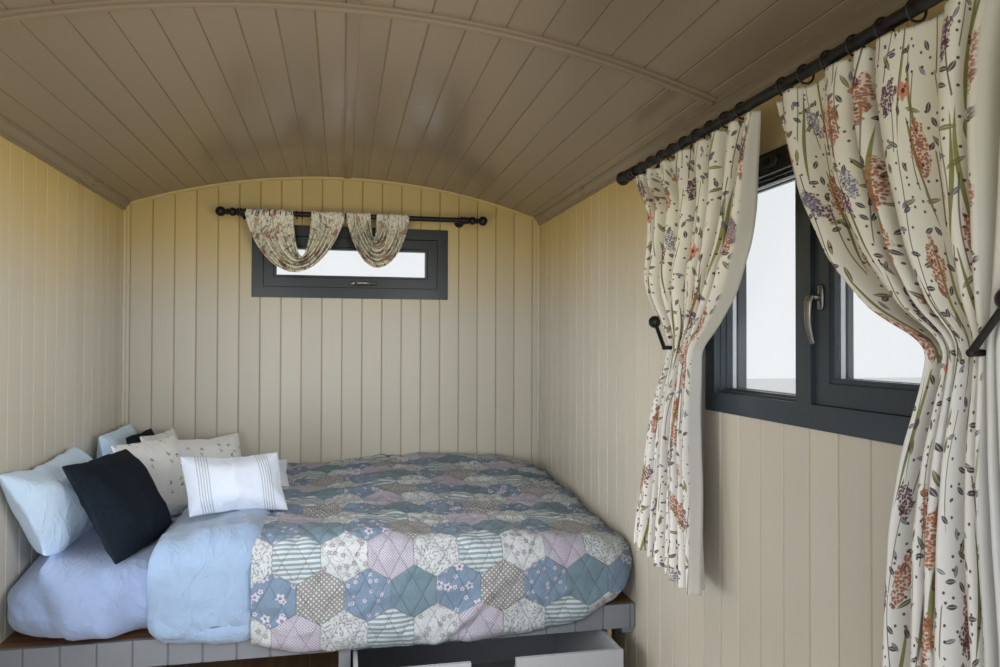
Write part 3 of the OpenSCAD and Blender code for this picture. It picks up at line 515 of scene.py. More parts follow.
    colour = s.blend(other, colour_a, colour_b)
    fade = s.noise(u, v, 1.0, 11, 3)
    colour = s.blend(0.10 + fade * 0.16, colour, (0.33, 0.37, 0.40))
    # painted cool light: the whole quilt is darkened and turned bluish
    colour = s.blend(1.0, colour, (0.72, 0.765, 0.87), "MULTIPLY")
    # painted shade in the sunken seams between the hexagons
    colour = s.blend(seam * 0.30, colour, (0.16, 0.17, 0.18))
    stitch_a = abs(((u + v / STITCH_SLOPE) / STITCH_PITCH).wrap(1) - 0.5).ramp(0.470, 0.5)
    stitch_b = abs(((u - v / STITCH_SLOPE) / STITCH_PITCH).wrap(1) - 0.5).ramp(0.470, 0.5)
    stitch = stitch_a.high(stitch_b)
    # darker along the sunken stitch lines: painted shade
    colour = s.blend(stitch * 0.16, colour, (0.10, 0.11, 0.12))
    weave = s.noise(u, v, 0.0, 1200, 1)
    pucker = s.noise(u, v, 2.0, 70, 3, 0.6, 0.6)
    height = pucker * 0.60 + weave * 0.06 + 0.3 - seam * 0.30 - stitch * 0.35
    return s.finish(colour, 0.86 + weave * 0.08, height, 0.0052, sheen_weight=0.1)


def sprigged(name, ground, light, scale=1.0):
    """Cotton with a sparse print of small sprigs and dots."""
    s = Shade(name)
    u, v = s.cloth()
    fine = s.noise(u, v, 0.0, 1400, 1)
    crease = s.noise(u, v, 0.0, 24, 3, 0.55, 0.8)
    # painted shade in the creases: the colour is darker where the crease bump is low
    colour = s.blend(crease * 0.6 + fine * 0.2, ground, light)
    for seed, share, tint in ((4.0, 0.5, (0.33, 0.30, 0.27)), (14.0, 0.4, (0.055, 0.045, 0.045))):
        x, y, r = s.cells(u, v, 1 / (0.062 * scale), 0.8, seed)
        x, y = turned(x, y, r[0] * 6)
        one = leaf(x, y, 0.013 * scale, 0.0042 * scale)
        two = leaf(x - 0.004 * scale, y - 0.008 * scale, 0.006 * scale, 0.0026 * scale)
        colour = s.blend(one.high(two) * kept(r[1], share) * 0.8, colour, tint)
    return s.finish(colour, 0.86 + fine * 0.06, crease * 0.8 + fine * 0.1, 0.004, sheen_weight=0.2)


def striped_ends(name, ground, light):
    """White cotton with a band of fine stripes towards both ends."""
    s = Shade(name)
    u, v = s.cloth()
    fine = s.noise(u, v, 0.0, 1400, 1)
    crease = s.noise(u, v, 0.0, 24, 3, 0.55, 0.8)
    # painted shade in the creases: the colour is darker where the crease bump is low
    colour = s.blend(crease * 0.6 + fine * 0.2, ground, light)
    band = (abs(abs(u) - 0.105) - 0.022).under(0.0, 0.0008)
    lines = ((u / 0.0088) * math.tau).sin().ramp(0.1, 0.35)
    colour = s.blend(band * lines * 0.65, colour, (0.25, 0.26, 0.27))
    return s.finish(colour, 0.86 + fine * 0.06, crease * 0.8 + fine * 0.1, 0.004, sheen_weight=0.2)


# wall cream below, and painted warm shade, yellower and darker, near the ceiling
WALL_LOW = (0.59, 0.555, 0.475)
WALL_TOP_PAINTED_SHADE = (0.60, 0.44, 0.165)
MATERIALS = {
    "wall_paint": paint("satin_cream", WALL_LOW, WALL_TOP_PAINTED_SHADE, 0.30, levels=(1.70, 2.36)),
    "ceiling_paint": paint("satin_taupe", (0.265, 0.205, 0.140), (0.25, 0.19, 0.125), 0.25,
                           streak="y", grain=0.2, joint_shade=0.3),
    "ceiling_plug_paint": paint("satin_taupe_patch", (0.33, 0.255, 0.20), (0.33, 0.255, 0.20), 0.28),
    # trims: the cream of the walls, darkened as painted shade up by the ceiling
    "cream_paint": paint("cream_trim_painted_shade", (0.235, 0.190, 0.138), (0.235, 0.175, 0.105), 0.30,
                         streak="y", grain=0.5),
    "outside_paint": paint("outside_green", (0.155, 0.20, 0.155), (0.17, 0.21, 0.165), 0.42),
    # window frames: painted shade, darker and warmer towards the top
    "window_paint": paint("window_slate_painted_shade", (0.042, 0.057, 0.071), (0.016, 0.017, 0.009), 0.26,
                          levels=(1.6, 2.1), streak="x", grain=0.1),
    # one cream paint in two bluish copies: the bed's dark as painted shade, the drawer's lighter as painted
    # light
    "bed_paint": paint("bed_cream_painted_shade", (0.19, 0.205, 0.235), (0.19, 0.205, 0.235), 0.32,
                       grain=0.5, joint_shade=0.25),
    "drawer_paint": paint("drawer_white_painted_light", (0.42, 0.44, 0.48), (0.42, 0.44, 0.48), 0.32,
                          streak="x", grain=0.5),
    "raw_timber": timber("sawn_softwood", (0.36, 0.22, 0.105), (0.66, 0.49, 0.29), "z", 0.68),
    "raw_timber_x": timber("sawn_softwood_across", (0.36, 0.22, 0.105), (0.66, 0.49, 0.29), "x", 0.68),
    "raw_timber_y": timber("sawn_softwood_along", (0.36, 0.22, 0.105), (0.66, 0.49, 0.29), "y", 0.68),
    "floor_timber": timber("oiled_boards", (0.22, 0.12, 0.055), (0.44, 0.29, 0.15), "y", 0.42),
    "brown_timber": timber("varnished_boards", (0.085, 0.035, 0.014), (0.25, 0.115, 0.05), "x", 0.35),
    "roof_steel": sheet_steel("coated_steel"),
    "window_glass": pane("clear_glass"),
    "black_metal": black_finish("black_lacquer", 0.10),
    "black_wood": black_finish("black_stain", 0.28),
    "handle_metal": dark_chrome("dark_chrome"),
    "spacer": spacer_metal("spacer_bar"),
    "floral_linen": floral("floral_linen"),
    "patchwork_cotton": patchwork("patchwork_cotton"),
    # white cottons: bluish tints that are painted cool light; the pillows' copy is lighter as painted light,
    # the sheet's darker as painted shade
    "white_cotton": cotton("white_cotton", (0.24, 0.335, 0.50), (0.295, 0.405, 0.58)),
    "lit_pillow_cotton": cotton("lit_pillow_cotton", (0.57, 0.74, 0.98), (0.63, 0.81, 0.99)),
    "shaded_sheet_cotton": cotton("shaded_sheet_cotton", (0.235, 0.31, 0.51), (0.30, 0.385, 0.60)),
    "charcoal_cotton": cotton("charcoal_cotton", (0.007, 0.011, 0.018), (0.013, 0.019, 0.030),
                              sheen=0.0, gloss=0.15),
    "print_cotton": sprigged("print_cotton", (0.72, 0.74, 0.76), (0.84, 0.86, 0.88)),
    # white lumbar cotton tinted bluish as painted cool light
    "lumbar_cotton": striped_ends("lumbar_cotton", (0.58, 0.64, 0.76), (0.68, 0.74, 0.86)),
}


# Mesh helpers


def show(name, mesh, finish, node=None):
    """Links a mesh as a piece that rides on the root body and may stand for a CAD node."""
    made = bpy.data.objects.new(name, mesh)
    bpy.context.scene.collection.objects.link(made)
    mesh.materials.append(MATERIALS[finish])
    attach(made, "root")
    if node:
        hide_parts(node)
    return made


def mesh_from(name, bm, smooth_faces=False):
    bmesh.ops.recalc_face_normals(bm, faces=bm.faces)
    for face in bm.faces:
        face.smooth = smooth_faces
    made = bpy.data.meshes.new(name)
    bm.to_mesh(made)
    bm.free()
    return made


def layer(bm, name):
    return bm.verts.layers.float.get(name) or bm.verts.layers.float.new(name)


def layered():
    """A new bmesh with the layers that painted pieces read."""
    bm = bmesh.new()
    layer(bm, "tone")
    layer(bm, "joint")
    return bm


def turns(count):
    """Angles of a full turn in equal steps."""
    return np.linspace(0, math.tau, count, endpoint=False)


def skin(bm, rows):
    """Quads between rows of vertices that close on themselves, and a cap at both ends."""
    n = len(rows[0])
    for one, two in zip(rows, rows[1:]):
        for i in range(n):
            j = (i + 1) % n
            bm.faces.new((one[i], one[j], two[j], two[i]))
    bm.faces.new(rows[0])
    bm.faces.new(rows[-1])


def prism(bm, section, ends, tone=0.5):
    """Closed prism in board coordinates: section is a list of (u, w, joint), ends gives v at both ends."""
    tones, joints = layer(bm, "tone"), layer(bm, "joint")
    rows = []
    for end in (0, 1):
        row = []
        for u, w, joint in section:
            vert = bm.verts.new((u, ends(u, w)[end], w))
            vert[tones] = tone
            vert[joints] = joint
            row.append(vert)
        rows.append(row)
    n = len(section)
    bm.faces.new(rows[0])
    bm.faces.new(rows[1][::-1])
    for i in range(n):
        j = (i + 1) % n
        bm.faces.new((rows[0][i], rows[1][i], rows[1][j], rows[0][j]))


def clip(bm, at, normal):
    """Keeps what lies behind a plane and caps the cut."""
    geom = bm.verts[:] + bm.edges[:] + bm.faces[:]
    cut = bmesh.ops.bisect_plane(bm, geom=geom, dist=1e-7, plane_co=at, plane_no=normal, clear_outer=True)
    edges = [e for e in cut["geom_cut"] if isinstance(e, bmesh.types.BMEdge)]
    if edges:
        bmesh.ops.contextual_create(bm, geom=edges)


def joined(target, part):
    """Adds a small bmesh to a larger one."""
    spare = bpy.data.meshes.new("spare")
    part.to_mesh(spare)
    target.from_mesh(spare)
    bpy.data.meshes.remove(spare)
    part.free()


# Tongue and groove boards

# Half the opening of a joint's chamfers and its depth, the gap at its bottom, and the narrowest board
# that is still chamfered
JOINT = (0.0048, 0.0036)
JOINT_GAP = 0.0007
SLIVER = 0.012


def board_section(u0, u1, thick, rng, joint, crown=0.0004, tilt=0.0004):
    """Outline of one board: chamfered front edges, a faint crown and tilt, and a tongue behind."""
    rise = rng.uniform(-tilt, tilt)
    if u1 - u0 <= SLIVER:
        return [(u0, 0.0, 0.0), (u1, 0.0, 0.0), (u1, -thick, 0.0), (u0, -thick, 0.0)]
    half_open, deep = joint
    front = []
    for t in (0.0, 0.2, 0.5, 0.8, 1.0):
        u = mix(u0 + half_open, u1 - half_open, t)
        front.append((u, crown * (1 - (2 * t - 1) ** 2) + rise * (2 * t - 1) - abs(rise), 0.0))
    half = -thick * 0.55
    left, right = u0 + JOINT_GAP / 2, u1 - JOINT_GAP / 2
    return [(left, half, 1.0), (left, -deep, 1.0), *front, (right, -deep, 1.0), (right, half, 1.0),
            (u1, half, 1.0), (u1, -thick, 0.0), (u0, -thick, 0.0), (u0, half, 1.0)]


def joints_at(low, high, pitch, offset):
    """Board edges from low to high, with joints at offset plus whole pitches."""
    first = math.ceil((low + SLIVER - offset) / pitch)
    edges = [low]
    while offset + first * pitch < high - SLIVER:
        edges.append(offset + first * pitch)
        first += 1
    return edges + [high]


def boards(name, place, span, ends, thick, finish, node, pitch=0.1018, offset=-0.005, hole=None, seed=1,
           joint=JOINT):
    """A boarded face. place maps (across, along, out) to the row frame, and hole is a box to leave open."""
    rng = random.Random(seed)
    whole = layered()
    edges = joints_at(*span, pitch, offset)
    for u0, u1 in zip(edges, edges[1:]):
        section = board_section(u0, u1, thick, rng, joint)
        tone = rng.random()
        cuts = [[]]
        if hole and u1 > hole[0] and u0 < hole[1]:
            inside = [((hole[0], 0, 0), (-1, 0, 0)), ((hole[1], 0, 0), (1, 0, 0))]
            cuts = [inside + [((0, hole[2], 0), (0, 1, 0))], inside + [((0, hole[3], 0), (0, -1, 0))]]
            if u0 < hole[0] - 1e-6:
                cuts.append([((hole[0], 0, 0), (1, 0, 0))])
            if u1 > hole[1] + 1e-6:
                cuts.append([((hole[1], 0, 0), (-1, 0, 0))])
        for planes in cuts:
            part = bmesh.new()
            prism(part, section, ends, tone)
            for at, normal in planes:
                clip(part, at, normal)
            joined(whole, part)
    for vert in whole.verts:
        vert.co = place(*vert.co)
    show(name, mesh_from(name, whole), finish, node=node)


def make_walls():
    low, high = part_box("end_window_frame")
    end_hole = (low.x, high.x, low.z, high.z)
    boards("end_wall_boards", lambda u, v, w: (u, Y_END - w, v), (-STUD_X, STUD_X),
           lambda u, w: (FLOOR_Z, arc_z(u)), Y_STUD - Y_END, "wall_paint", "end_wall_lining", hole=end_hole)
    boards("end_outside_boards", lambda u, v, w: (u, Y_OUT + w, v), (-OUT_X, OUT_X),
           lambda u, w: (CLAD_LOW.z, arc_z(u)), Y_OUT - Y_CLAD, "outside_paint", "end_wall_cladding",
           pitch=0.125, hole=end_hole, seed=2)
    low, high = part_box("side_window_frame")
    side_hole = (low.y, high.y, low.z, high.z)
    for side, word, hole in ((-1, "left", None), (1, "right", side_hole)):
        boards(word + "_wall_boards", lambda u, v, w, s=side: (s * (HALF_W - w), u, v), (Y_CUT, Y_END),
               lambda u, w: (FLOOR_Z, arc_z(HALF_W - w)), STUD_X - HALF_W, "wall_paint",
               word + "_wall_lining", hole=hole, offset=Y_END - 0.055, seed=4 + side)
        boards(word + "_outside_boards", lambda u, v, w, s=side: (s * (OUT_X + w), u, v), (Y_CUT, Y_CLAD),
               lambda u, w: (CLAD_LOW.z, arc_z(OUT_X + w)), OUT_X - CLAD_X, "outside_paint",
               word + "_wall_cladding", pitch=0.125, hole=hole, offset=Y_END - 0.07, seed=8 + side)


def on_arc(u, r):
    """Point in the X-Z plane at an arc length u from the crown, on the radius r."""
    a = u / ARC_R
    return r * math.sin(a), ARC_Z + r * math.cos(a)


def make_ceiling():
    half = ARC_R * math.asin(OUT_X / ARC_R)

    def place(u, v, w):
        x, z = on_arc(u, ARC_R - w)
        return x, v, z

    boards("ceiling_lining", place, (-half, half), lambda u, w: (Y_CUT, Y_OUT), CEILING_T, "ceiling_paint",
           "ceiling_boards", pitch=0.0985, offset=0.020, seed=12, joint=(0.0036, 0.0021))


def make_floor_boards():
    low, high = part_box("floor_boards")
    boards("floor_planks", lambda u, v, w: (u, v, high.z + w), (low.x, high.x),
           lambda u, w: (low.y, high.y), high.z - low.z, "floor_timber", "floor_boards", pitch=0.14, seed=14)


def make_rail():
    low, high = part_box("bed_rail")
    boards("rail_boards", lambda u, v, w: (u, low.y - w, v), (low.x, high.x), lambda u, w: (low.z, high.z),
           high.y - low.y, "bed_paint", "bed_rail", pitch=0.105, offset=-0.02, seed=15)


# CAD pieces that keep their shape: a finish and softened edges

def dress(names, finish, edge=0.0012):
    for name in names:
        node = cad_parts[name]
        node.data.materials.clear()
        node.data.materials.append(MATERIALS[finish])
        if edge:
            weld = node.modifiers.new("weld", "WELD")
            weld.merge_threshold = 0.00005
            soft = node.modifiers.new("edges", "BEVEL")
            soft.width = edge
            soft.segments = 2
            soft.limit_method = "ANGLE"
            soft.angle_limit = math.radians(40)
            soft.harden_normals = False


def dress_cad():
    dress(["end_window_frame", "end_window_sash", "side_window_frame", "side_window_sash"],
          "window_paint", 0.0014)
    dress(["window_casings"], "window_paint", 0.002)
    dress(["corner_boards", "eaves_fascias", "verge_board"], "outside_paint", 0.002)
    dress(["floor_bearers", "drawer_support"], "raw_timber_y", 0.002)
    dress(["floor_joists", "roof_ribs"], "raw_timber_x", 0.0015)
    dress(["end_wall_frame", "left_wall_frame", "right_wall_frame"], "raw_timber", 0.0015)
    dress(["crown_strip"], "ceiling_paint", 0.0015)
    dress(["bed_platform"], "brown_timber", 0.0015)
    dress(["bed_ledgers", "bed_divider"], "bed_paint", 0.0015)
    dress(["drawer_front", "drawer_box"], "drawer_paint", 0.0015)
    dress(["end_pole", "end_pole_brackets", "side_pole", "side_pole_brackets", "curtain_rings",
           "tieback_hooks"], "black_wood", 0)


# Cloth

WALL_GAP = 0.006
CURTAIN_THICK = 0.0018
SCARF_THICK = 0.0014
QUILT_THICK = 0.008


def shell(name, points, cut, thick, finish, node, values=None):
    """Closed sheet of cloth on a grid of points: two skins a thickness apart, and a rim. cut holds each
    point's place on the flat cloth, in metres."""
    rows, cols = points.shape[:2]
    normal = np.cross(np.gradient(points, axis=1), np.gradient(points, axis=0))
    normal /= np.linalg.norm(normal, axis=2)[:, :, None] + 1e-12
    half = (np.asarray(thick) / 2 * np.ones((rows, cols)))[:, :, None] * normal
    places = np.concatenate([(points + half).reshape(-1, 3), (points - half).reshape(-1, 3)])
    at = np.arange(rows * cols).reshape(rows, cols)
    a, b, c, d = at[:-1, :-1], at[:-1, 1:], at[1:, 1:], at[1:, :-1]
    top = np.stack([a, b, c, d], axis=-1).reshape(-1, 4)
    faces = [top, top[:, ::-1] + rows * cols]
    loop = np.concatenate([at[0, :-1], at[:-1, -1], at[-1, :0:-1], at[:0:-1, 0]])
    after = np.roll(loop, -1)
    faces.append(np.stack([after, loop, loop + rows * cols, after + rows * cols], axis=-1))
    mesh = bpy.data.meshes.new(name)
    mesh.from_pydata(places.tolist(), [], np.concatenate(faces).tolist())
    flat = np.concatenate([cut.reshape(-1, 2)] * 2)
    corner = np.empty(len(mesh.loops), dtype=np.int32)
    mesh.loops.foreach_get("vertex_index", corner)
    mesh.uv_layers.new(name="cut").data.foreach_set("uv", flat[corner].ravel())
    for key, value in (values or {}).items():
        skins = value if isinstance(value, tuple) else (value, value)
        each = np.concatenate([np.asarray(skin, dtype=float).ravel() for skin in skins])
        mesh.attributes.new(key, "FLOAT", "POINT").data.foreach_set("value", each)
    bm = bmesh.new()
    bm.from_mesh(mesh)
    bpy.data.meshes.remove(mesh)
    return show(name, mesh_from(name, bm, True), finish, node=node)


def smoothed(values, width):
    """Running mean of a row of numbers, with its ends held."""
    kernel = np.hanning(width * 2 + 3)[1:-1]
    padded = np.concatenate([np.full(width, values[0]), values, np.full(width, values[-1])])
    return np.convolve(padded, kernel / kernel.sum(), "valid")


def level_line(levels, heights, column, soft=6):
    """One column of a table of levels, read at heights and rounded off."""
    rows = sorted(levels)
    found = np.interp(heights, [r[0] for r in rows], [r[column] for r in rows])
    return smoothed(found, soft)


def field(x, y, z, seed=0.0, scale=1.0):
    """Smooth noise from -1 to 1 on arrays of places."""
    out = np.empty(np.broadcast(x, y, z).shape)
    x, y, z = np.broadcast_arrays(x, y, z)
    for index in np.ndindex(out.shape):
        out[index] = noise.noise((x[index] * scale + seed, y[index] * scale - seed, z[index] * scale + seed))
    return out


def creased(x, y, seed=0.0):
    """Sharp-crested folds from -1 to 1."""
    return 1 - 2 * np.abs(field(x, y, 0 * x, seed, 1.0)) ** 0.7 * 1.3


# Curtains, gathered on rings and drawn to the wall by a hook

POLE_X = sum(c.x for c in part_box("side_pole")) / 2


def curtain(name, node, levels, hem, folds, wide, seed, plain_far, plain_near):
    """levels: height over the floor, distances of both edges from the end wall, x, and depth of the folds."""
    rng = np.random.default_rng(seed)
    rows, cols = 190, folds * 18 + 1
    top = levels[0][0]
    s = np.linspace(0, 1, cols)
    phase = np.cumsum(1 + 0.35 * smoothed(rng.normal(size=cols), 14) * 4)
    phase = (phase - phase[0]) / (phase[-1] - phase[0]) * folds * math.tau + 0.6
    swell = 1 + 0.22 * np.interp(s, np.linspace(0, 1, folds * 2), rng.uniform(-1, 1, folds * 2))
    drop = np.linspace(0, 1, rows)
    hem_line = np.interp(s, [0, 1], hem)
    points = np.empty((rows, cols, 3))
    cut = np.empty((rows, cols, 2))
    mid_hem = sum(hem) / 2
    heights = top + (mid_hem - top) * drop
    far, near, x, deep = (level_line(levels, heights, k) for k in (1, 2, 3, 4))
    for i in range(rows):
        z = top + (hem_line - top) * drop[i]
        lean = 0.45 * np.sin(phase * 2 + 0.4 * drop[i])
        y = mix(far[i], near[i], s) - (near[i] - far[i]) / folds / math.tau * lean
        slow = 0.30 * np.sin(drop[i] * 5 + s * 9 + seed) + 0.15 * np.sin(drop[i] * 13 + s * 17)
        points[i, :, 0] = x[i] + deep[i] * swell * np.sin(phase + slow)
        points[i, :, 1] = Y_END - y
        points[i, :, 2] = FLOOR_Z + z
        cut[i, :, 0] = s * wide
        cut[i, :, 1] = -drop[i] * (top - mid_hem)
    points[:, :, 0] = np.minimum(points[:, :, 0], HALF_W - WALL_GAP)
    across = s[None, :] * wide + 0 * drop[:, None]
    plain = ((across < plain_far) | (across > wide - plain_near)).astype(float)
    piece = shell(name, points, cut, CURTAIN_THICK, "floral_linen", node,
                  values={"plain": (np.ones_like(plain), plain)})
    top - mid_hem


LEFT_LEVELS = [
    # height, far edge, near edge, x, fold depth
    (2.004, 1.580, 2.345, 0.000, 0.016), (1.970, 1.600, 2.338, 0.000, 0.022),
    (1.930, 1.638, 2.330, 0.000, 0.027), (1.870, 1.705, 2.312, 0.000, 0.030),
    (1.790, 1.706, 2.295, 0.000, 0.032), (1.710, 1.690, 2.265, 0.000, 0.033),
    (1.650, 1.680, 2.225, 0.000, 0.034), (1.590, 1.705, 2.180, 0.006, 0.034),
    (1.540, 1.757, 2.115, 0.012, 0.032), (1.497, 1.801, 2.060, 0.018, 0.030),
    (1.445, 1.836, 1.972, 0.022, 0.026), (1.400, 1.822, 1.976, 0.020, 0.026),
    (1.350, 1.802, 1.985, 0.014, 0.028), (1.270, 1.768, 1.992, 0.006, 0.031),
    (1.150, 1.730, 2.003, 0.000, 0.033), (1.010, 1.690, 2.020, 0.000, 0.034),
    (0.860, 1.640, 2.036, 0.000, 0.035), (0.750, 1.610, 2.046, 0.000, 0.035)]
RIGHT_LEVELS = [
    (2.004, 2.405, 3.130, 0.000, 0.016), (1.960, 2.418, 3.120, 0.000, 0.024),
    (1.883, 2.443, 3.105, 0.000, 0.030), (1.760, 2.498, 3.090, 0.000, 0.033),
    (1.620, 2.598, 3.070, 0.002, 0.034), (1.514, 2.713, 3.030, 0.014, 0.031),
    (1.457, 2.846, 2.990, 0.022, 0.026), (1.389, 2.835, 2.995, 0.018, 0.027),
    (1.264, 2.800, 3.015, 0.006, 0.031), (1.136, 2.776, 3.035, 0.000, 0.034),
    (0.989, 2.763, 3.050, 0.000, 0.035), (0.750, 2.750, 3.060, 0.000, 0.035)]


def make_curtains():
    for name, levels, hem, folds, wide, seed, bands in (
            ("curtain_left", LEFT_LEVELS, (0.80, 0.757), 8, 1.16, 3, (0.0, 0.035)),
            ("curtain_right", RIGHT_LEVELS, (0.757, 0.79), 8, 1.16, 5, (0.0, 0.22))):
        shifted = [(z, far, near, POLE_X + x, deep) for z, far, near, x, deep in levels]
        curtain(name + "_cloth", name, shifted, hem, folds, wide, seed, *bands)


# Scarf over the end pole, in two swags

END_POLE_LOW, END_POLE_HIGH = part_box("end_pole")
SCARF_Y = (END_POLE_LOW.y + END_POLE_HIGH.y) / 2
SCARF_Z = (END_POLE_LOW.z + END_POLE_HIGH.z) / 2
SCARF_R = 0.0165


def swag(name, left, right, shallow, deep, folds, seed, node):
    """A swag from one place on the pole to another. left and right are spans on the pole, from the inner
    fold to the outer one, and the folds hang from shallow to deep below it."""
    rows, cols = folds * 18 + 1, 120
    v = np.linspace(0, 1, rows)[:, None]
    u = np.linspace(0, 1, cols)[None, :]
    wrap = 0.10
    inner = (u - wrap) / (1 - 2 * wrap)
    t = np.clip(inner, 0, 1)
    at_left = mix(left[0], left[1], v ** 0.9)
    at_right = mix(right[0], right[1], v ** 0.9)
    x = mix(at_left, at_right, t) + 0 * v
    drop = mix(shallow, deep, v ** 1.15)
    hang = (4 * t * (1 - t)) ** 0.72
    sway = 0.012 * field(x, v * 3, 0 * x, seed * 1.3, 5.0)
    ripple = np.sin(v * folds * math.tau + 2.0 * field(0 * x + t * 1.2, v * 2, 0 * x, seed, 2.0))
    loose = np.sqrt(np.clip(4 * t * (1 - t), 0, 1))
    y = SCARF_Y - SCARF_R - 0.004 - loose * (0.026 + 0.026 * v) - ripple * (0.007 + 0.017 * loose)
    z = SCARF_Z - drop * hang + sway * loose - ripple * 0.004
    over = np.clip(np.abs(inner - 0.5) - 0.5, 0, None) / (wrap / (1 - 2 * wrap))
    reach = over * 0.088
    turn = np.clip(reach / SCARF_R, 0, math.pi)
    tail = np.clip(reach - math.pi * SCARF_R, 0, None)
    r = SCARF_R + 0.002 + 0.0016 * ripple
    y = np.where(over > 0, SCARF_Y - r * np.cos(turn), y)
    z = np.where(over > 0, SCARF_Z + r * np.sin(turn) - tail, z)
    blend_in = np.clip(t / 0.10, 0, 1) * np.clip((1 - t) / 0.10, 0, 1)
    y = np.where(over > 0, y, mix(SCARF_Y - r, y, blend_in ** 0.7))
    points = np.stack([x, y, z], axis=-1)
    step = np.linalg.norm(np.diff(points, axis=1), axis=2)
    along = np.concatenate([np.zeros((rows, 1)), np.cumsum(step, axis=1)], axis=1)
    across = np.linalg.norm(np.diff(points, axis=0), axis=2)[:, cols // 2]
    wide = np.concatenate([[0], np.cumsum(across)])
    along -= along[:, cols // 2][:, None]
    cut = np.stack([along + seed, wide[:, None] + 0 * along], axis=-1)
    piece = shell(name, points, cut, SCARF_THICK, "floral_linen", node, values={"plain": 0 * along})


def make_valance():
    swag("scarf_left", (-0.245, -0.475), (-0.158, 0.004), 0.215, 0.293, 6, 2.0, "end_valance")
    swag("scarf_right", (0.135, 0.014), (0.165, 0.330), 0.110, 0.268, 7, 7.0, "end_valance")


# Bedding

BED_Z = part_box("bed_platform")[1].z
MATTRESS_LOW, MATTRESS_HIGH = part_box("mattress")
MATTRESS_TOP = MATTRESS_HIGH.z
FOLD_LOW, FOLD_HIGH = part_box("duvet_fold")
QUILT_FRONT = MATTRESS_LOW.y - 0.090


def outward(points):
    """Unit normals of a cover on the bed, pointing away from it."""
    normal = np.cross(np.gradient(points, axis=1), np.gradient(points, axis=0))
    normal /= np.linalg.norm(normal, axis=2)[:, :, None]
    inverted = (normal[:, :, 2:3] < -0.01) | (normal[:, :, 1:2] > 0.5)
    return normal * np.where(inverted, -1.0, 1.0)


def over_bed(v, front, front_z, back_z, radius, back_y):
    """Point of a cover's profile at a length v along it: up its front from the floor's level, round the
    edge of the bed, then back over the top."""
    start = front_z - radius
    turn = np.clip((v - start) / radius, 0, math.pi / 2)
    on_top = np.clip(v - start - radius * math.pi / 2, 0, None)
    y = front + radius * (1 - np.cos(turn)) + on_top
    rise = np.clip((y - front - radius) / (back_y - front - radius), 0, 1)
    rise = rise * rise * (3 - 2 * rise)
    z = np.where(v < start, v, start + radius * np.sin(turn) + (back_z - front_z) * rise)
    return y, z


def profile_length(front, front_z, radius, back_y):
    return front_z - radius + radius * math.pi / 2 + back_y - front - radius


HEM = ((-0.294, 0.470), (-0.164, 0.440), (-0.040, 0.424), (0.151, 0.424), (0.291, 0.424), (0.463, 0.426),
       (0.639, 0.432), (0.802, 0.458), (0.894, 0.500), (0.988, 0.545), (1.040, 0.615))
FRONT_TOP = ((-0.29, 0.812), (0.03, 0.802), (0.36, 0.778), (0.76, 0.757), (0.90, 0.745), (1.00, 0.722),
             (1.04, 0.700))
BACK_TOP = ((-0.29, 0.815), (-0.06, 0.830), (0.19, 0.845), (0.39, 0.848), (0.65, 0.846), (0.81, 0.840),
            (0.98, 0.790), (1.04, 0.755))


def along_table(table, x, soft):
    return smoothed(np.interp(x, [t[0] for t in table], [t[1] for t in table]), soft)


def make_quilt():
    """Quilt from its hem in front, over the bed and back to the end wall."""
    cols, rows = 250, 300
    x = np.linspace(-0.287, HALF_W - 0.012, cols)
    hem, front_z, back_z = (along_table(t, x, 6) for t in (HEM, FRONT_TOP, BACK_TOP))
    corner = np.clip((x - 0.93) / 0.11, 0, 1)
    front = QUILT_FRONT + 0.008 + 0.055 * corner ** 2
    back_y = Y_END - 0.022
    radius = 0.095
    length = profile_length(front, front_z, radius, back_y)
    t = np.linspace(0, 1, rows)[:, None]
    v = mix(hem[None, :], length[None, :], t)
    y, z = over_bed(v, front[None, :], front_z[None, :], back_z[None, :], radius, back_y)
    xx = x[None, :] + 0 * v
    puff = (np.abs(np.sin(math.pi * (xx + v / STITCH_SLOPE) / STITCH_PITCH))
            * np.abs(np.sin(math.pi * (xx - v / STITCH_SLOPE) / STITCH_PITCH)))
    lift = 0.0042 * puff ** 0.45
    lift += 0.0100 * field(xx, v, 0 * v, 4.0, 4.5) + 0.0070 * field(xx * 0.8, v * 2.2, 0 * v, 9.0, 11.0)
    lift += 0.0036 * field(xx, v, 0 * v, 2.0, 24.0)
    top = np.clip((v - front_z[None, :] - 0.05) / 0.25, 0, 1)
    lift += top * (0.0130 * field(xx * 2.2, v * 7.5, 0 * v, 13.0, 1.0)
                   + 0.0095 * creased(xx * 5, v * 15, 21.0)
                   + 0.0120 * field(xx * 3.5, v * 3.0, 0 * v, 17.0, 1.0))
    drape = np.clip((front_z[None, :] - 0.08 - v) / 0.2, 0, 1)
    lift += drape * 0.0075 * creased(xx * 6, v * 8, 33.0)
    lift += drape * 0.010 * np.sin(xx * 19 + 1.4 * np.sin(v * 9))
    path = ((xx - 0.28) * 0.66 - (v - 0.40) * 0.75)
    along = (xx - 0.28) * 0.75 + (v - 0.40) * 0.66
    ridge = np.exp(-(path / 0.018) ** 2) - 0.55 * np.exp(-((path - 0.034) / 0.020) ** 2)
    lift += 0.017 * ridge * np.clip(1.1 - np.abs(along - 0.16) / 0.22, 0, 1)
    curl = np.clip(1 - (v - hem[None, :]) / 0.045, 0, 1)
    points = np.stack([xx, y, FLOOR_Z + z], axis=-1)
    points = points + outward(points) * lift[:, :, None]
    points[:, :, 1] += 0.024 * curl ** 2
    points[:, :, 2] = np.maximum(points[:, :, 2], FLOOR_Z + 0.4205)
    points[:, :, 0] = np.minimum(points[:, :, 0], HALF_W - WALL_GAP)
    cut = np.stack([xx, v], axis=-1)
    piece = shell("patchwork_quilt", points, cut, QUILT_THICK, "patchwork_cotton", "quilt")
    tall = float((length - hem).mean())


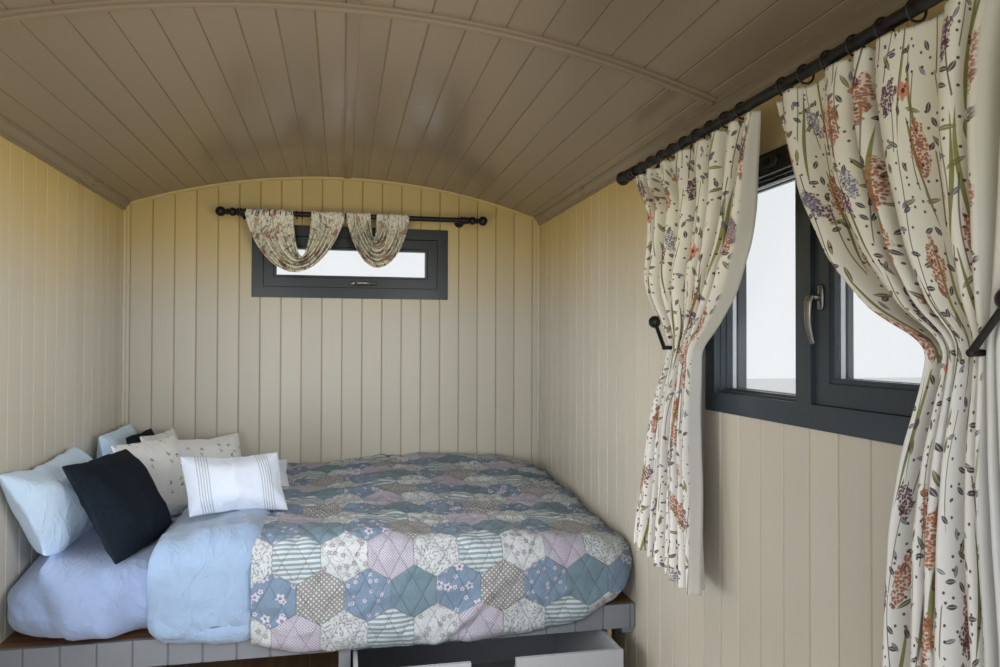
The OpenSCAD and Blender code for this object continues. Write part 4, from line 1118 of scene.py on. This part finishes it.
def make_duvet():
    """Duvet folded back beside the quilt."""
    cols, rows = 90, 260
    left, right = FOLD_LOW.x + 0.004, FOLD_HIGH.x + 0.016
    s = np.linspace(0, 1, cols)
    x = mix(left, right, s)
    hem = np.interp(s, [0, 0.15, 0.5, 0.85, 1], [0.520, 0.492, 0.480, 0.474, 0.490])
    front_z = np.interp(s, [0, 0.5, 1], [0.782, 0.800, 0.830])
    back_z = np.interp(s, [0, 1], [0.800, 0.822])
    front = np.full(cols, QUILT_FRONT + 0.030)
    back_y = Y_END - 0.03
    radius = 0.085
    length = profile_length(front, front_z, radius, back_y)
    t = np.linspace(0, 1, rows)[:, None]
    v = mix(hem[None, :], length[None, :], t)
    y, z = over_bed(v, front[None, :], front_z[None, :], back_z[None, :], radius, back_y)
    xx = x[None, :] + 0 * v
    side = np.clip(1 - np.abs(2 * s[None, :] - 1) ** 5, 0, 1) ** 0.5
    ends = np.clip((v - hem[None, :]) / 0.03, 0, 1) ** 0.5
    thick = 0.006 + 0.038 * side * ends
    crease = 0.010 * field(xx, v * 0.6, 0 * v, 3.0, 7.0) + 0.006 * field(xx * 1.4, v, 0 * v, 8.0, 15.0)
    low = np.clip((0.62 - v) / 0.14, 0, 1)
    crease += low * (0.011 * field(xx + v * 0.5, v * 2.0, 0 * v, 1.0, 20.0)
                     + 0.004 * creased(xx * 16 + v * 9, v * 26, 6.0))
    crease += 0.0065 * creased(xx * 8 + v * 3, v * 7, 15.0)
    points = np.stack([xx, y, FLOOR_Z + z], axis=-1)
    points = points + outward(points) * (crease - (0.044 - thick) / 2)[:, :, None]
    points[:, :, 2] = np.maximum(points[:, :, 2], FLOOR_Z + 0.470)
    piece = shell("duvet", points, np.stack([xx, v], axis=-1), thick, "white_cotton", "duvet_fold")


def rounded_box(low, high, radii, steps):
    """Points and faces of a box with soft edges: radii and steps are across, deep and high."""
    bm = bmesh.new()
    low, high = np.array(low), np.array(high)
    inner_low, inner_high = low + radii, high - radii
    found = {}

    def corner(index):
        if index not in found:
            p = low + (high - low) * np.array(index) / steps
            q = np.clip(p, inner_low, inner_high)
            d = (p - q) / radii
            n = np.linalg.norm(d)
            flat = d / n * np.max(np.abs(d)) if n > 1e-9 else d
            found[index] = bm.verts.new(q + flat * radii)
        return found[index]

    for axis in range(3):
        a, b = [k for k in range(3) if k != axis]
        for end in (0, steps[axis]):
            for i in range(steps[a]):
                for j in range(steps[b]):
                    ring = []
                    for di, dj in ((0, 0), (1, 0), (1, 1), (0, 1)):
                        index = [0, 0, 0]
                        index[axis], index[a], index[b] = end, i + di, j + dj
                        ring.append(corner(tuple(index)))
                    bm.faces.new(ring)
    return bm


def make_mattress():
    """Mattress in a loose sheet that bulges at the front of the bed."""
    low = (-HALF_W + 0.004, MATTRESS_LOW.y - 0.022, BED_Z + 0.001)
    high = (MATTRESS_HIGH.x - 0.004, MATTRESS_HIGH.y, MATTRESS_TOP + 0.006)
    bm = rounded_box(low, high, np.array((0.10, 0.10, 0.085)), (230, 60, 44))
    for vert in bm.verts:
        x, y, z = vert.co
        height = (z - low[2]) / (high[2] - low[2])
        facing = smooth((low[1] + 0.09 - y) / 0.08)
        slant = x + (z - low[2]) * 0.55
        fold = noise.noise((slant * 9 + 3, z * 3.0, 0.0)) + 0.6 * noise.noise((slant * 20, z * 5 + 2, 1.0))
        fold += 0.5 * (1 - 2.6 * abs(noise.noise((slant * 13 + 9, z * 6, 4.0))) ** 0.7)
        bulge = math.sin(math.pi * min(1, max(0, height))) ** 0.8 * smooth((x + 1.07) / 0.10)
        vert.co.y -= facing * (0.021 * fold * (1.15 - height * 0.75) + 0.030 * bulge)
        loose = smooth((x + 1.0) / 0.2) * smooth((-0.63 - x) / 0.09)
        vert.co.y -= facing * 0.075 * loose * (1 - 0.6 * height)
        belly = smooth((x + 1.0) / 0.25) * smooth((high[0] - x) / 0.3)
        if height > 0.5:
            vert.co.z += 0.010 * belly * facing - 0.045 * smooth((x - 0.2) / 0.8)
            tucked = (1 - smooth((x + 1.04) / 0.17)) * (height - 0.5) * 2
            vert.co.z -= 0.055 * tucked * smooth((low[1] + 0.30 - y) / 0.25)
            vert.co.z += 0.003 * noise.noise((x * 7, y * 7, 0.0))
        else:
            vert.co.z = max(vert.co.z, BED_Z + 0.0008)
    uv = bm.loops.layers.uv.new("cut")
    for face in bm.faces:
        for loop in face.loops:
            loop[uv].uv = (loop.vert.co.x, loop.vert.co.y + loop.vert.co.z)
    piece = show("mattress_sheet", mesh_from("mattress_sheet", bm, True), "shaded_sheet_cotton", node="mattress")


# Pillows and cushions: two flat cloths sewn at their rim and blown up by a cloth simulation

CUSHION_CELLS = 46
CUSHION_PRESSURE = 3.0
CUSHION_FRAMES = 18
SIMULATED_SHARE = 0.34
PLUMP = {"lit_pillow_cotton": 0.10, "charcoal_cotton": 0.05}


def envelope(width, height, cells, seed):
    """Flat bag in the X-Y plane: two layers of a grid that share their rim."""
    rng = random.Random(seed)
    nx = cells
    ny = max(10, round(cells * height / width))
    bm = bmesh.new()
    rim = {}
    layers_of = []
    for side in (1, -1):
        grid = []
        for i in range(nx + 1):
            row = []
            for j in range(ny + 1):
                edge = i in (0, nx) or j in (0, ny)
                if edge and (i, j) in rim:
                    row.append(rim[i, j])
                    continue
                bow = 0.006 * math.sin(math.pi * i / nx) * math.sin(math.pi * j / ny)
                vert = bm.verts.new(((i / nx - 0.5) * width, (j / ny - 0.5) * height,
                                     0 if edge else side * (0.004 + bow + rng.uniform(0, 0.002))))
                if edge:
                    rim[i, j] = vert
                row.append(vert)
            grid.append(row)
        layers_of.append(grid)
        for i in range(nx):
            for j in range(ny):
                ring = [grid[i][j], grid[i + 1][j], grid[i + 1][j + 1], grid[i][j + 1]]
                bm.faces.new(ring if side > 0 else ring[::-1])
    bm.verts.index_update()
    flat = [(v.co.x, v.co.y) for v in bm.verts]
    mesh = bpy.data.meshes.new("envelope")
    bm.to_mesh(mesh)
    bm.free()
    return mesh, flat


def blown_up(mesh, pressure, frames):
    """Runs the cloth simulation on a mesh and leaves its result in the mesh."""
    scene = bpy.context.scene
    bag = bpy.data.objects.new("bag", mesh)
    scene.collection.objects.link(bag)
    cloth = bag.modifiers.new("cloth", "CLOTH")
    cloth.settings.quality = 5
    cloth.settings.mass = 0.25
    cloth.settings.tension_stiffness = 14
    cloth.settings.compression_stiffness = 10
    cloth.settings.shear_stiffness = 4
    cloth.settings.bending_stiffness = 0.25
    cloth.settings.use_pressure = True
    cloth.settings.uniform_pressure_force = pressure
    cloth.settings.effector_weights.gravity = 0
    cloth.collision_settings.use_collision = False
    cloth.point_cache.frame_start = 1
    cloth.point_cache.frame_end = frames
    for frame_at in range(1, frames + 1):
        scene.frame_set(frame_at)
    found = bag.evaluated_get(bpy.context.evaluated_depsgraph_get()).to_mesh()
    places = [vert.co.copy() for vert in found.vertices]
    bag.modifiers.clear()
    for vert, place in zip(mesh.vertices, places):
        vert.co = place
    bpy.data.objects.remove(bag)
    scene.frame_set(1)


def resting_level(x):
    """Height of the made bed under a cushion: the mattress, then the fold of the duvet."""
    return mix(MATTRESS_TOP + 0.007, FLOOR_Z + 0.812, smooth((x + 0.650) / 0.07))


def cushion(seed, name, node, size, at, lean, turn, skew, finish, fill, sag):
    """A stuffed cushion in the place of its CAD solid: at is x, distance from the end wall and height over
    the floor, in millimetres, and lean, turn and skew are as in the solid."""
    width, height, thick = (v / 1000 for v in size)
    mesh, flat = envelope(width, height, CUSHION_CELLS, seed)
    blown_up(mesh, CUSHION_PRESSURE, CUSHION_FRAMES)
    co = np.array([vert.co for vert in mesh.vertices])
    for axis, full in ((0, width), (1, height), (2, thick)):
        reach = co[:, axis].max() - co[:, axis].min()
        middle = (co[:, axis].max() + co[:, axis].min()) / 2
        co[:, axis] = (co[:, axis] - middle) * full / reach
    co[:, :2] = mix(np.array(flat), co[:, :2], SIMULATED_SHARE)
    full = np.clip(np.abs(co[:, 2]) / (thick * 0.30), 0, 1)
    across, up = np.array(flat).T
    plump = PLUMP.get(finish, 0.0)
    co[:, 0] *= 1 + plump * (1 - (2 * up / height) ** 2)
    co[:, 1] *= 1 + plump * (1 - (2 * across / width) ** 2)
    ridges = 0.5 + 0.5 * creased(across * 7 + up * 3, up * 6 - across * 3, seed)
    co[:, 2] += np.sign(co[:, 2]) * full * 0.009 * ridges
    lean, turn = math.radians(lean), math.radians(turn)
    across, up, out = co[:, 0] + skew * co[:, 1], co[:, 1], co[:, 2]
    out = out - sag * (np.abs(co[:, 1] / height * 2) ** 2) * 0.5
    x0 = -up * math.sin(lean) + out * math.cos(lean)
    z0 = up * math.cos(lean) + out * math.sin(lean)
    x = at[0] / 1000 + x0 * math.cos(turn) - across * math.sin(turn)
    y = Y_END - at[1] / 1000 + x0 * math.sin(turn) + across * math.cos(turn)
    z = FLOOR_Z + at[2] / 1000 + z0
    shift = Vector((seed * 1.7, 0, 0))
    for index, vert in enumerate(mesh.vertices):
        p = Vector((x[index], y[index], z[index]))
        p += 0.004 * Vector(noise.noise_vector(p * 9 + shift))
        low = resting_level(p.x)
        if p.z < low + 0.012:
            p.z = low + 0.012 * math.exp((p.z - low - 0.012) / 0.03)
        wall = -HALF_W + 0.004
        if p.x < wall + 0.010:
            p.x = wall + 0.010 * math.exp((p.x - wall - 0.010) / 0.03)
        vert.co = p
    bm = bmesh.new()
    bm.from_mesh(mesh)
    uv = bm.loops.layers.uv.new("cut")
    for face in bm.faces:
        for loop in face.loops:
            loop[uv].uv = flat[loop.vert.index]
    bpy.data.meshes.remove(mesh)
    piece = show(name, mesh_from(name, bm, True), finish, node=node)
    soft = piece.modifiers.new("rounding", "SUBSURF")
    soft.levels = soft.render_levels = 1


CUSHIONS = (
    # name, node, size, place, lean, turn, skew, finish, fill, sag
    ("pillow_near", "pillows", (640, 360, 188), (-965, 985, 878), 14, 0, -0.5, "lit_pillow_cotton", 0.7, 0.04),
    ("pillow_far", "pillows", (480, 360, 120), (-970, 275, 880), 8, 0, 0, "lit_pillow_cotton", 0.7, 0.02),
    ("charcoal_near", "charcoal_cushions", (430, 400, 128), (-752, 1085, 893), 41, -12, 0.36,
     "charcoal_cotton", 0.6, 0.03),
    ("charcoal_far", "charcoal_cushions", (360, 370, 62), (-838, 300, 868), 22, -4, 0.1, "charcoal_cotton",
     0.6, 0.0),
    ("print_near", "print_cushions", (345, 370, 104), (-735, 680, 885), 26, -30, 0.1, "print_cotton",
     0.6, 0.02),
    ("print_middle", "print_cushions", (360, 370, 62), (-760, 310, 872), 24, -10, 0.1, "print_cotton",
     0.6, 0.0),
    ("print_far", "print_cushions", (360, 320, 70), (-590, 300, 875), 34, -50, 0.1, "print_cotton", 0.6, 0.0),
    ("lumbar_near", "lumbar_cushion", (345, 225, 114), (-388, 1050, 930), 20, -80, -0.15, "lumbar_cotton",
     0.7, 0.0),
    ("lumbar_far", "lumbar_cushion", (345, 225, 70), (-400, 520, 860), 62, -75, 0.1, "lumbar_cotton",
     0.6, 0.0),
)


def make_cushions():
    for seed, row in enumerate(CUSHIONS, 21):
        cushion(seed, *row)


# Roof sheet

ROOF_WAVES = 47


def make_roof():
    low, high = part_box("roof_sheet")
    depth = 0.018
    steel = 0.0012
    mid_r = high.z - ARC_Z - depth / 2 - steel
    edge = math.asin(high.x / (mid_r + depth / 2))
    pitch = (high.y - low.y) / ROOF_WAVES
    sheets = 5
    lap = pitch * 1.25
    across, per_wave = 26, 10
    bm = layered()
    share = (high.y - low.y) / sheets
    for k in range(sheets):
        y0 = low.y + k * share
        y1 = min(high.y, y0 + share + (lap if k < sheets - 1 else 0))
        steps = round((y1 - y0) / pitch * per_wave)
        grids = []
        for lift in (0.0, steel):
            rows = []
            for i in range(steps + 1):
                y = mix(y0, y1, i / steps)
                r = mid_r + lift - depth / 2 * math.cos((y - low.y) / pitch * math.tau)
                r += 0.0015 * (k % 2)
                rows.append([bm.verts.new((r * math.sin(a), y, ARC_Z + r * math.cos(a)))
                             for a in np.linspace(-edge, edge, across + 1)])
            grids.append(rows)
        under, over = grids
        for i in range(steps):
            for j in range(across):
                bm.faces.new((over[i][j], over[i + 1][j], over[i + 1][j + 1], over[i][j + 1]))
                bm.faces.new((under[i][j], under[i][j + 1], under[i + 1][j + 1], under[i + 1][j]))
        for i in range(steps):
            for j in (0, across):
                bm.faces.new((over[i][j], under[i][j], under[i + 1][j], over[i + 1][j]))
        for j in range(across):
            for i in (0, steps):
                bm.faces.new((over[i][j], over[i][j + 1], under[i][j + 1], under[i][j]))
    show("corrugated_sheets", mesh_from("corrugated_sheets", bm, True), "roof_steel", node="roof_sheet")


# Double glazing: two panes in each light, with a bright spacer bar between them

def halves(node, axis):
    """Boxes of the two solids of a node, on either side of its middle."""
    co = np.array([v.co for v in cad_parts[node].data.vertices])
    middle = (co[:, axis].min() + co[:, axis].max()) / 2
    parts = (co[co[:, axis] < middle], co[co[:, axis] > middle])
    return [(part.min(axis=0), part.max(axis=0)) for part in parts]


def slab(bm, low, high, edge):
    """Box with chamfered edges."""
    made = bmesh.ops.create_cube(bm, size=1.0)
    for vert in made["verts"]:
        vert.co = [mix(a, b, c + 0.5) for a, b, c in zip(low, high, vert.co)]
    edges = list({e for v in made["verts"] for e in v.link_edges})
    bmesh.ops.bevel(bm, geom=edges, offset=edge, segments=1, profile=0.5, affect="EDGES")


def ring(bm, low, high, depth, inset, axis):
    """Rectangular ring round a light, between two depths along one axis."""
    a, b = [k for k in range(3) if k != axis]
    rows = []
    for d in depth:
        for t in (0.0, inset):
            row = []
            for i, j in ((0, 0), (1, 0), (1, 1), (0, 1)):
                p = [0.0, 0.0, 0.0]
                p[axis] = d
                p[a] = (high[a] - t) if i else (low[a] + t)
                p[b] = (high[b] - t) if j else (low[b] + t)
                row.append(bm.verts.new(p))
            rows.append(row)
    outer0, inner0, outer1, inner1 = rows
    for i in range(4):
        j = (i + 1) % 4
        for one, two in ((outer0, outer1), (outer1, inner1), (inner1, inner0), (inner0, outer0)):
            bm.faces.new((one[i], one[j], two[j], two[i]))


def make_glazing():
    for node, word, axis, boxes in (
            ("end_window_glass", "end", 1, [tuple(np.array(c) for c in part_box("end_window_glass"))]),
            ("side_window_glass", "side", 0, halves("side_window_glass", 1))):
        panes, bars = bmesh.new(), bmesh.new()
        for low, high in boxes:
            near, far = low[axis], high[axis]
            for d0, d1 in ((near, near + 0.004), (far - 0.004, far)):
                a, b = low.copy(), high.copy()
                a[axis], b[axis] = d0, d1
                slab(panes, a, b, 0.0004)
            ring(bars, low, high, (near + 0.0042, far - 0.0042), 0.009, axis)
        show(word + "_window_panes", mesh_from(word + "_panes", panes), "window_glass", node=node)
        show(word + "_window_spacers", mesh_from(word + "_spacers", bars), "spacer", node=node)


# Mouldings

def swept_arc(name, section, half_x, finish, node, steps=72):
    """A moulding bent round the barrel: section is a list of (y, height from the ceiling)."""
    bm = layered()
    end = math.asin(half_x / ARC_R)
    rows = []
    for a in np.linspace(-end, end, steps + 1):
        rows.append([bm.verts.new(((ARC_R + w) * math.sin(a), y, ARC_Z + (ARC_R + w) * math.cos(a)))
                     for y, w in section])
    skin(bm, rows)
    show(name, mesh_from(name, bm), finish, node=node)


def make_mouldings():
    low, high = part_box("cross_bead")
    y0, y1 = low.y, high.y
    batten = [(y0, 0.0), (y0, -0.0055), (y0 + 0.0025, -0.008),
              (y1 - 0.0025, -0.008), (y1, -0.0055), (y1, 0.0)]
    swept_arc("cross_batten", batten, high.x - 0.0005, "ceiling_paint", "cross_bead")
    middle = (y0 + y1) / 2
    round_off = [(middle + 0.009 * math.cos(a), -0.0095 - 0.0085 * math.sin(a))
                 for a in np.linspace(0, math.pi, 15)]
    bead = [(middle + 0.009, -0.0079), *round_off, (middle - 0.009, -0.0079)]
    swept_arc("cross_half_round", bead, high.x - 0.0005, "cream_paint", "cross_bead")

    curve = [(0.0100 + 0.018 * (1 - math.cos(a)), 0.0285 - 0.0185 * math.sin(a))
             for a in np.linspace(0, math.pi / 2, 9)]
    cornice = [(0.0, 0.034), (0.0085, 0.034), (0.0085, 0.0310), (0.0100, 0.0300), *curve, (0.0300, 0.0100),
               (0.0300, 0.0072), (0.0335, 0.0066), (0.0335, 0.0), (0.0, 0.0)]
    for side, word in ((-1, "left"), (1, "right")):
        bm = bmesh.new()
        section = []
        for u, w in cornice:
            x = HALF_W - u
            section.append((side * x, EAVES_Z - w + (arc_z(x) - EAVES_Z) * min(1.0, u / 0.030), 0.0))
        prism(bm, section, lambda u, w: (Y_CUT, Y_END - 0.014))
        show(word + "_cornice", mesh_from(word + "_cornice", bm), "cream_paint", node="eaves_cornices")

    quarter = [(-0.0125 * math.cos(a), -0.0125 * math.sin(a)) for a in np.linspace(0, math.pi / 2, 9)]
    section = [(Y_END, 0.0), (Y_END - 0.014, 0.0), (Y_END - 0.014, -0.0012)]
    section += [(Y_END - 0.0012 + a, -0.0012 + b) for a, b in quarter] + [(Y_END, -0.0137)]
    swept_arc("end_wall_arch_bead", section, HALF_W - 0.0005, "wall_paint", "end_wall_beads")
    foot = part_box("end_wall_beads")[0].z
    bm = layered()
    for side in (-1, 1):
        upright = [(0.0, 0.0), (0.0137, 0.0), *((0.0012 - a, 0.0012 - b) for a, b in quarter), (0.0, 0.0137)]
        section = [(side * (HALF_W - u), Y_END - v) for u, v in upright]
        rows = []
        for top in (0, 1):
            rows.append([bm.verts.new((x, y, arc_z(x) - 0.002 if top else foot)) for x, y in section])
        skin(bm, rows)
    show("corner_beads", mesh_from("corner_beads", bm), "wall_paint", node="end_wall_beads")


# Window handles: a rose plate and a cranked lever

SWEPT_SIDES = 18
PLATE_SIDES = 36
VENT_SIDES = 48


def swept(bm, path, radii, side):
    """Closed bar along a path. radii are its halves along side and across it."""
    rings = []
    for i, p in enumerate(path):
        ahead = (path[min(i + 1, len(path) - 1)] - path[max(i - 1, 0)]).normalized()
        over = ahead.cross(side).normalized()
        a, b = radii[i]
        rings.append([bm.verts.new(p + side * (a * math.cos(t)) + over * (b * math.sin(t)))
                      for t in turns(SWEPT_SIDES)])
    skin(bm, rings)


def lever(name, node, at, out, down, long):
    """A handle at a point on the sash: out points into the room, and down along the closed lever."""
    side = out.cross(down).normalized()
    bm = bmesh.new()
    rows = []
    for d, share in ((0.0, 1.0), (0.0045, 1.0), (0.0070, 0.86)):
        row = []
        for t in turns(PLATE_SIDES):
            c, s = math.cos(t), math.sin(t)
            row.append(bm.verts.new(at + out * d + side * (0.0125 * share * math.copysign(abs(c) ** 0.6, c))
                                    + down * (0.030 * share * math.copysign(abs(s) ** 0.6, s))))
        rows.append(row)
    skin(bm, rows)
    path, radii = [], []
    for t in np.linspace(0, 1, 7):
        path.append(at + out * mix(0.006, 0.024, t))
        radii.append((0.0085, 0.0085))
    for t in np.linspace(0.12, 1, 12):
        a = t * math.pi / 2
        path.append(at + out * (0.024 + 0.010 * math.sin(a)) + down * (0.012 * (1 - math.cos(a))))
        radii.append((mix(0.0085, 0.0115, t), mix(0.0085, 0.0062, t)))
    for t in np.linspace(0.06, 1, 18):
        path.append(at + out * (0.034 + 0.003 * math.sin(t * math.pi) - 0.011 * t * t)
                    + down * mix(0.012, long, t))
        radii.append((mix(0.0115, 0.0078, t), mix(0.0062, 0.0042, t)))
    end = path[-1]
    for t, share in ((0.0015, 0.80), (0.0025, 0.45)):
        path.append(end + down * t)
        radii.append((0.0078 * share, 0.0042 * share))
    swept(bm, path, radii, side)
    show(name, mesh_from(name, bm, True), "handle_metal", node=node)


def make_handles():
    low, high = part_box("side_window_handle")
    at = Vector((high.x, (low.y + high.y) / 2, high.z - 0.030))
    lever("side_window_lever", "side_window_handle", at, Vector((-1, 0, 0)), Vector((0, 0, -1)), 0.104)
    low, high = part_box("end_window_handle")
    at = Vector((low.x + 0.030, high.y, (low.z + high.z) / 2))
    lever("end_window_lever", "end_window_handle", at, Vector((0, -1, 0)), Vector((1, 0, 0)), 0.104)


def make_trickle_vent():
    """Rounded hood, and a black strip in its slot as painted shade."""
    low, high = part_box("trickle_vent")
    centre = (low + high) / 2
    half = (high.y - low.y) / 2
    for name, long, tall, rings, finish in (
            ("trickle_vent_hood", half, 0.0150, ((0.0, 1.0), (0.006, 1.0), (0.0095, 0.93), (0.0110, 0.80)),
             "window_paint"),
            # black strip where the slot is: painted shade inside the opening
            ("trickle_vent_slot_shade", half - 0.020, 0.0062, ((0.0100, 1.0), (0.0114, 1.0)), "black_metal")):
        bm = layered()
        rows = []
        for out, share in rings:
            row = []
            for t in turns(VENT_SIDES):
                c, s = math.cos(t), math.sin(t)
                inset = tall * (1 - share)
                y = (long - tall) * math.copysign(1, c) + (tall - inset) * c
                row.append(bm.verts.new((high.x - out, centre.y + y, centre.z + (tall - inset) * s)))
            rows.append(row)
        skin(bm, rows)
        show(name, mesh_from(name, bm), finish, node="trickle_vent")


# Small fixings

def turned_disc(bm, at, axis, side, rings, count=12):
    """Turned shape on a surface: rings are pairs of height over it and radius."""
    other = axis.cross(side)
    rows = []
    for h, r in rings:
        rows.append([bm.verts.new(at + axis * h + side * (r * math.cos(t)) + other * (r * math.sin(t)))
                     for t in turns(count)])
    skin(bm, rows)


def make_roof_screws():
    """Screws with domed washers, on the crest nearest to each rib."""
    low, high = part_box("roof_sheet")
    ribs = np.array(sorted({round(v.co.y, 3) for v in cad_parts["roof_ribs"].data.vertices}))
    groups = np.split(ribs, np.where(np.diff(ribs) > 0.1)[0] + 1)
    pitch = (high.y - low.y) / ROOF_WAVES
    top = high.z - ARC_Z - 0.0015
    bm = layered()
    for group in groups:
        y = low.y + (round((group.mean() - low.y) / pitch - 0.5) + 0.5) * pitch
        for k in range(-5, 6):
            a = k * 0.222 / ARC_R
            axis = Vector((math.sin(a), 0, math.cos(a)))
            turned_disc(bm, Vector((0, y, ARC_Z)) + axis * top, axis, Vector((0, 1, 0)),
                        ((0, 0.0115), (0.0012, 0.0115), (0.0026, 0.0080), (0.0026, 0.0046), (0.0065, 0.0044),
                         (0.0075, 0.0034)))
    show("roof_screws", mesh_from("roof_screws", bm), "roof_steel")


def make_ceiling_plug():
    """The round filled hole in the ceiling boards."""
    x, y = 0.265, 0.322
    a = math.asin(x / ARC_R)
    axis = Vector((-math.sin(a), 0, -math.cos(a)))
    bm = layered()
    turned_disc(bm, Vector((0, y, ARC_Z)) - axis * (ARC_R + 0.002), axis, Vector((0, 1, 0)),
                ((0, 0.011), (0.0026, 0.011), (0.0034, 0.0100), (0.0034, 0.0062), (0.0026, 0.0056),
                 (0.0024, 0.0008)), 28)
    show("ceiling_plug", mesh_from("ceiling_plug", bm, True), "ceiling_plug_paint")


# Stage: camera, lights and floor

CAMERA_AT = Vector((-0.005, -2.301, 1.685))
CAMERA_YAW = math.radians(12.055)
CAMERA_PITCH = math.radians(0.726)
CAMERA_ROLL = math.radians(0.177)
LENS = 26.64


def make_camera():
    ahead = Vector((math.sin(CAMERA_YAW) * math.cos(CAMERA_PITCH),
                    math.cos(CAMERA_YAW) * math.cos(CAMERA_PITCH), math.sin(CAMERA_PITCH)))
    right = Vector((math.cos(CAMERA_YAW), -math.sin(CAMERA_YAW), 0))
    up = right.cross(ahead)
    across = right * math.cos(CAMERA_ROLL) + up * math.sin(CAMERA_ROLL)
    over = up * math.cos(CAMERA_ROLL) - right * math.sin(CAMERA_ROLL)
    camera = bpy.data.objects.new("camera", bpy.data.cameras.new("camera"))
    camera.data.sensor_width = 36
    camera.data.lens = LENS
    camera.data.clip_start = 0.05
    turn = Matrix((across, over, -ahead)).transposed().to_4x4()
    camera.matrix_world = Matrix.Translation(CAMERA_AT) @ turn
    bpy.context.scene.collection.objects.link(camera)
    bpy.context.scene.camera = camera


def area_light(name, at, towards, size, power, colour, mirrored=True, spread=180):
    light = bpy.data.lights.new(name, "AREA")
    light.shape = "RECTANGLE"
    light.size, light.size_y = size
    light.energy = power
    light.color = colour
    light.spread = math.radians(spread)
    made = bpy.data.objects.new(name, light)
    made.location = at
    made.rotation_euler = (Vector(towards) - Vector(at)).to_track_quat("-Z", "Y").to_euler()
    made.visible_camera = False
    made.visible_glossy = mirrored
    bpy.context.scene.collection.objects.link(made)


DAY = (0.82, 0.92, 1.0)
LIGHTS = (
    ("far_left_light", (-2.2, -7.5, 1.9), (0.6, 1.0, 1.2), (2.5, 2.0), 42, DAY, True),
    ("far_right_light", (2.2, -7.5, 1.9), (-0.6, 1.0, 1.2), (2.5, 2.0), 60, DAY, True),
    ("up_light", (0.0, 0.0, 1.30), (0.0, 0.0, 3.0), (1.5, 2.4), 2.2, (1.0, 0.96, 0.90), False),
    ("window_light", (0.72, -0.95, 1.60), (-1.0, -0.6, 1.2), (0.7, 0.5), 15, (1.0, 1.0, 0.98), False),
    ("down_light", (-0.15, 0.4, 2.42), (-0.15, 0.4, 0.0), (1.1, 1.4), 4.0, (1.0, 1.0, 0.98), False),
    ("left_light", (-0.95, 0.5, 1.15), (1.0, 0.65, 1.00), (1.2, 0.4), 2.4, DAY, False, 110),
    ("corner_light", (-0.70, -0.85, 1.20), (1.0, 1.1, 0.95), (0.8, 0.5), 5.4, (0.98, 1.0, 1.0), False, 120),
    ("wall_light", (-0.25, 0.05, 1.20), (0.95, 0.20, 1.20), (0.5, 0.4), 0.7, (0.98, 1.0, 1.0), False, 90),
    ("over_light", (-3.5, -3.0, 6.0), (0, 0, 1.2), (3.0, 3.0), 120, (1.0, 0.98, 0.95), True),
)


def make_stage():
    world = bpy.data.worlds.new("studio")
    world.use_nodes = True
    back = world.node_tree.nodes["Background"]
    back.inputs["Color"].default_value = (0.93, 0.965, 1.0, 1)
    back.inputs["Strength"].default_value = 1.0
    bpy.context.scene.world = world
    for each in LIGHTS:
        area_light(*each)
    bm = bmesh.new()
    bmesh.ops.create_grid(bm, x_segments=2, y_segments=2, size=30)
    floor = bpy.data.objects.new("studio_floor", mesh_from("studio_floor", bm))
    bpy.context.scene.collection.objects.link(floor)
    s = Shade("pale_floor")
    x, y, z = s.place()
    floor.data.materials.append(s.finish(s.blend(s.noise(x, y, z, 3), (0.70, 0.70, 0.69), (0.74, 0.74, 0.73)),
                                         0.8))
    bpy.context.scene.view_settings.view_transform = "Standard"


make_camera()
make_stage()
make_walls()
make_ceiling()
make_floor_boards()
make_rail()
make_glazing()
make_mouldings()
make_handles()
make_trickle_vent()
make_roof()
make_roof_screws()
make_ceiling_plug()
make_curtains()
make_valance()
make_mattress()
make_duvet()
make_quilt()
make_cushions()
dress_cad()
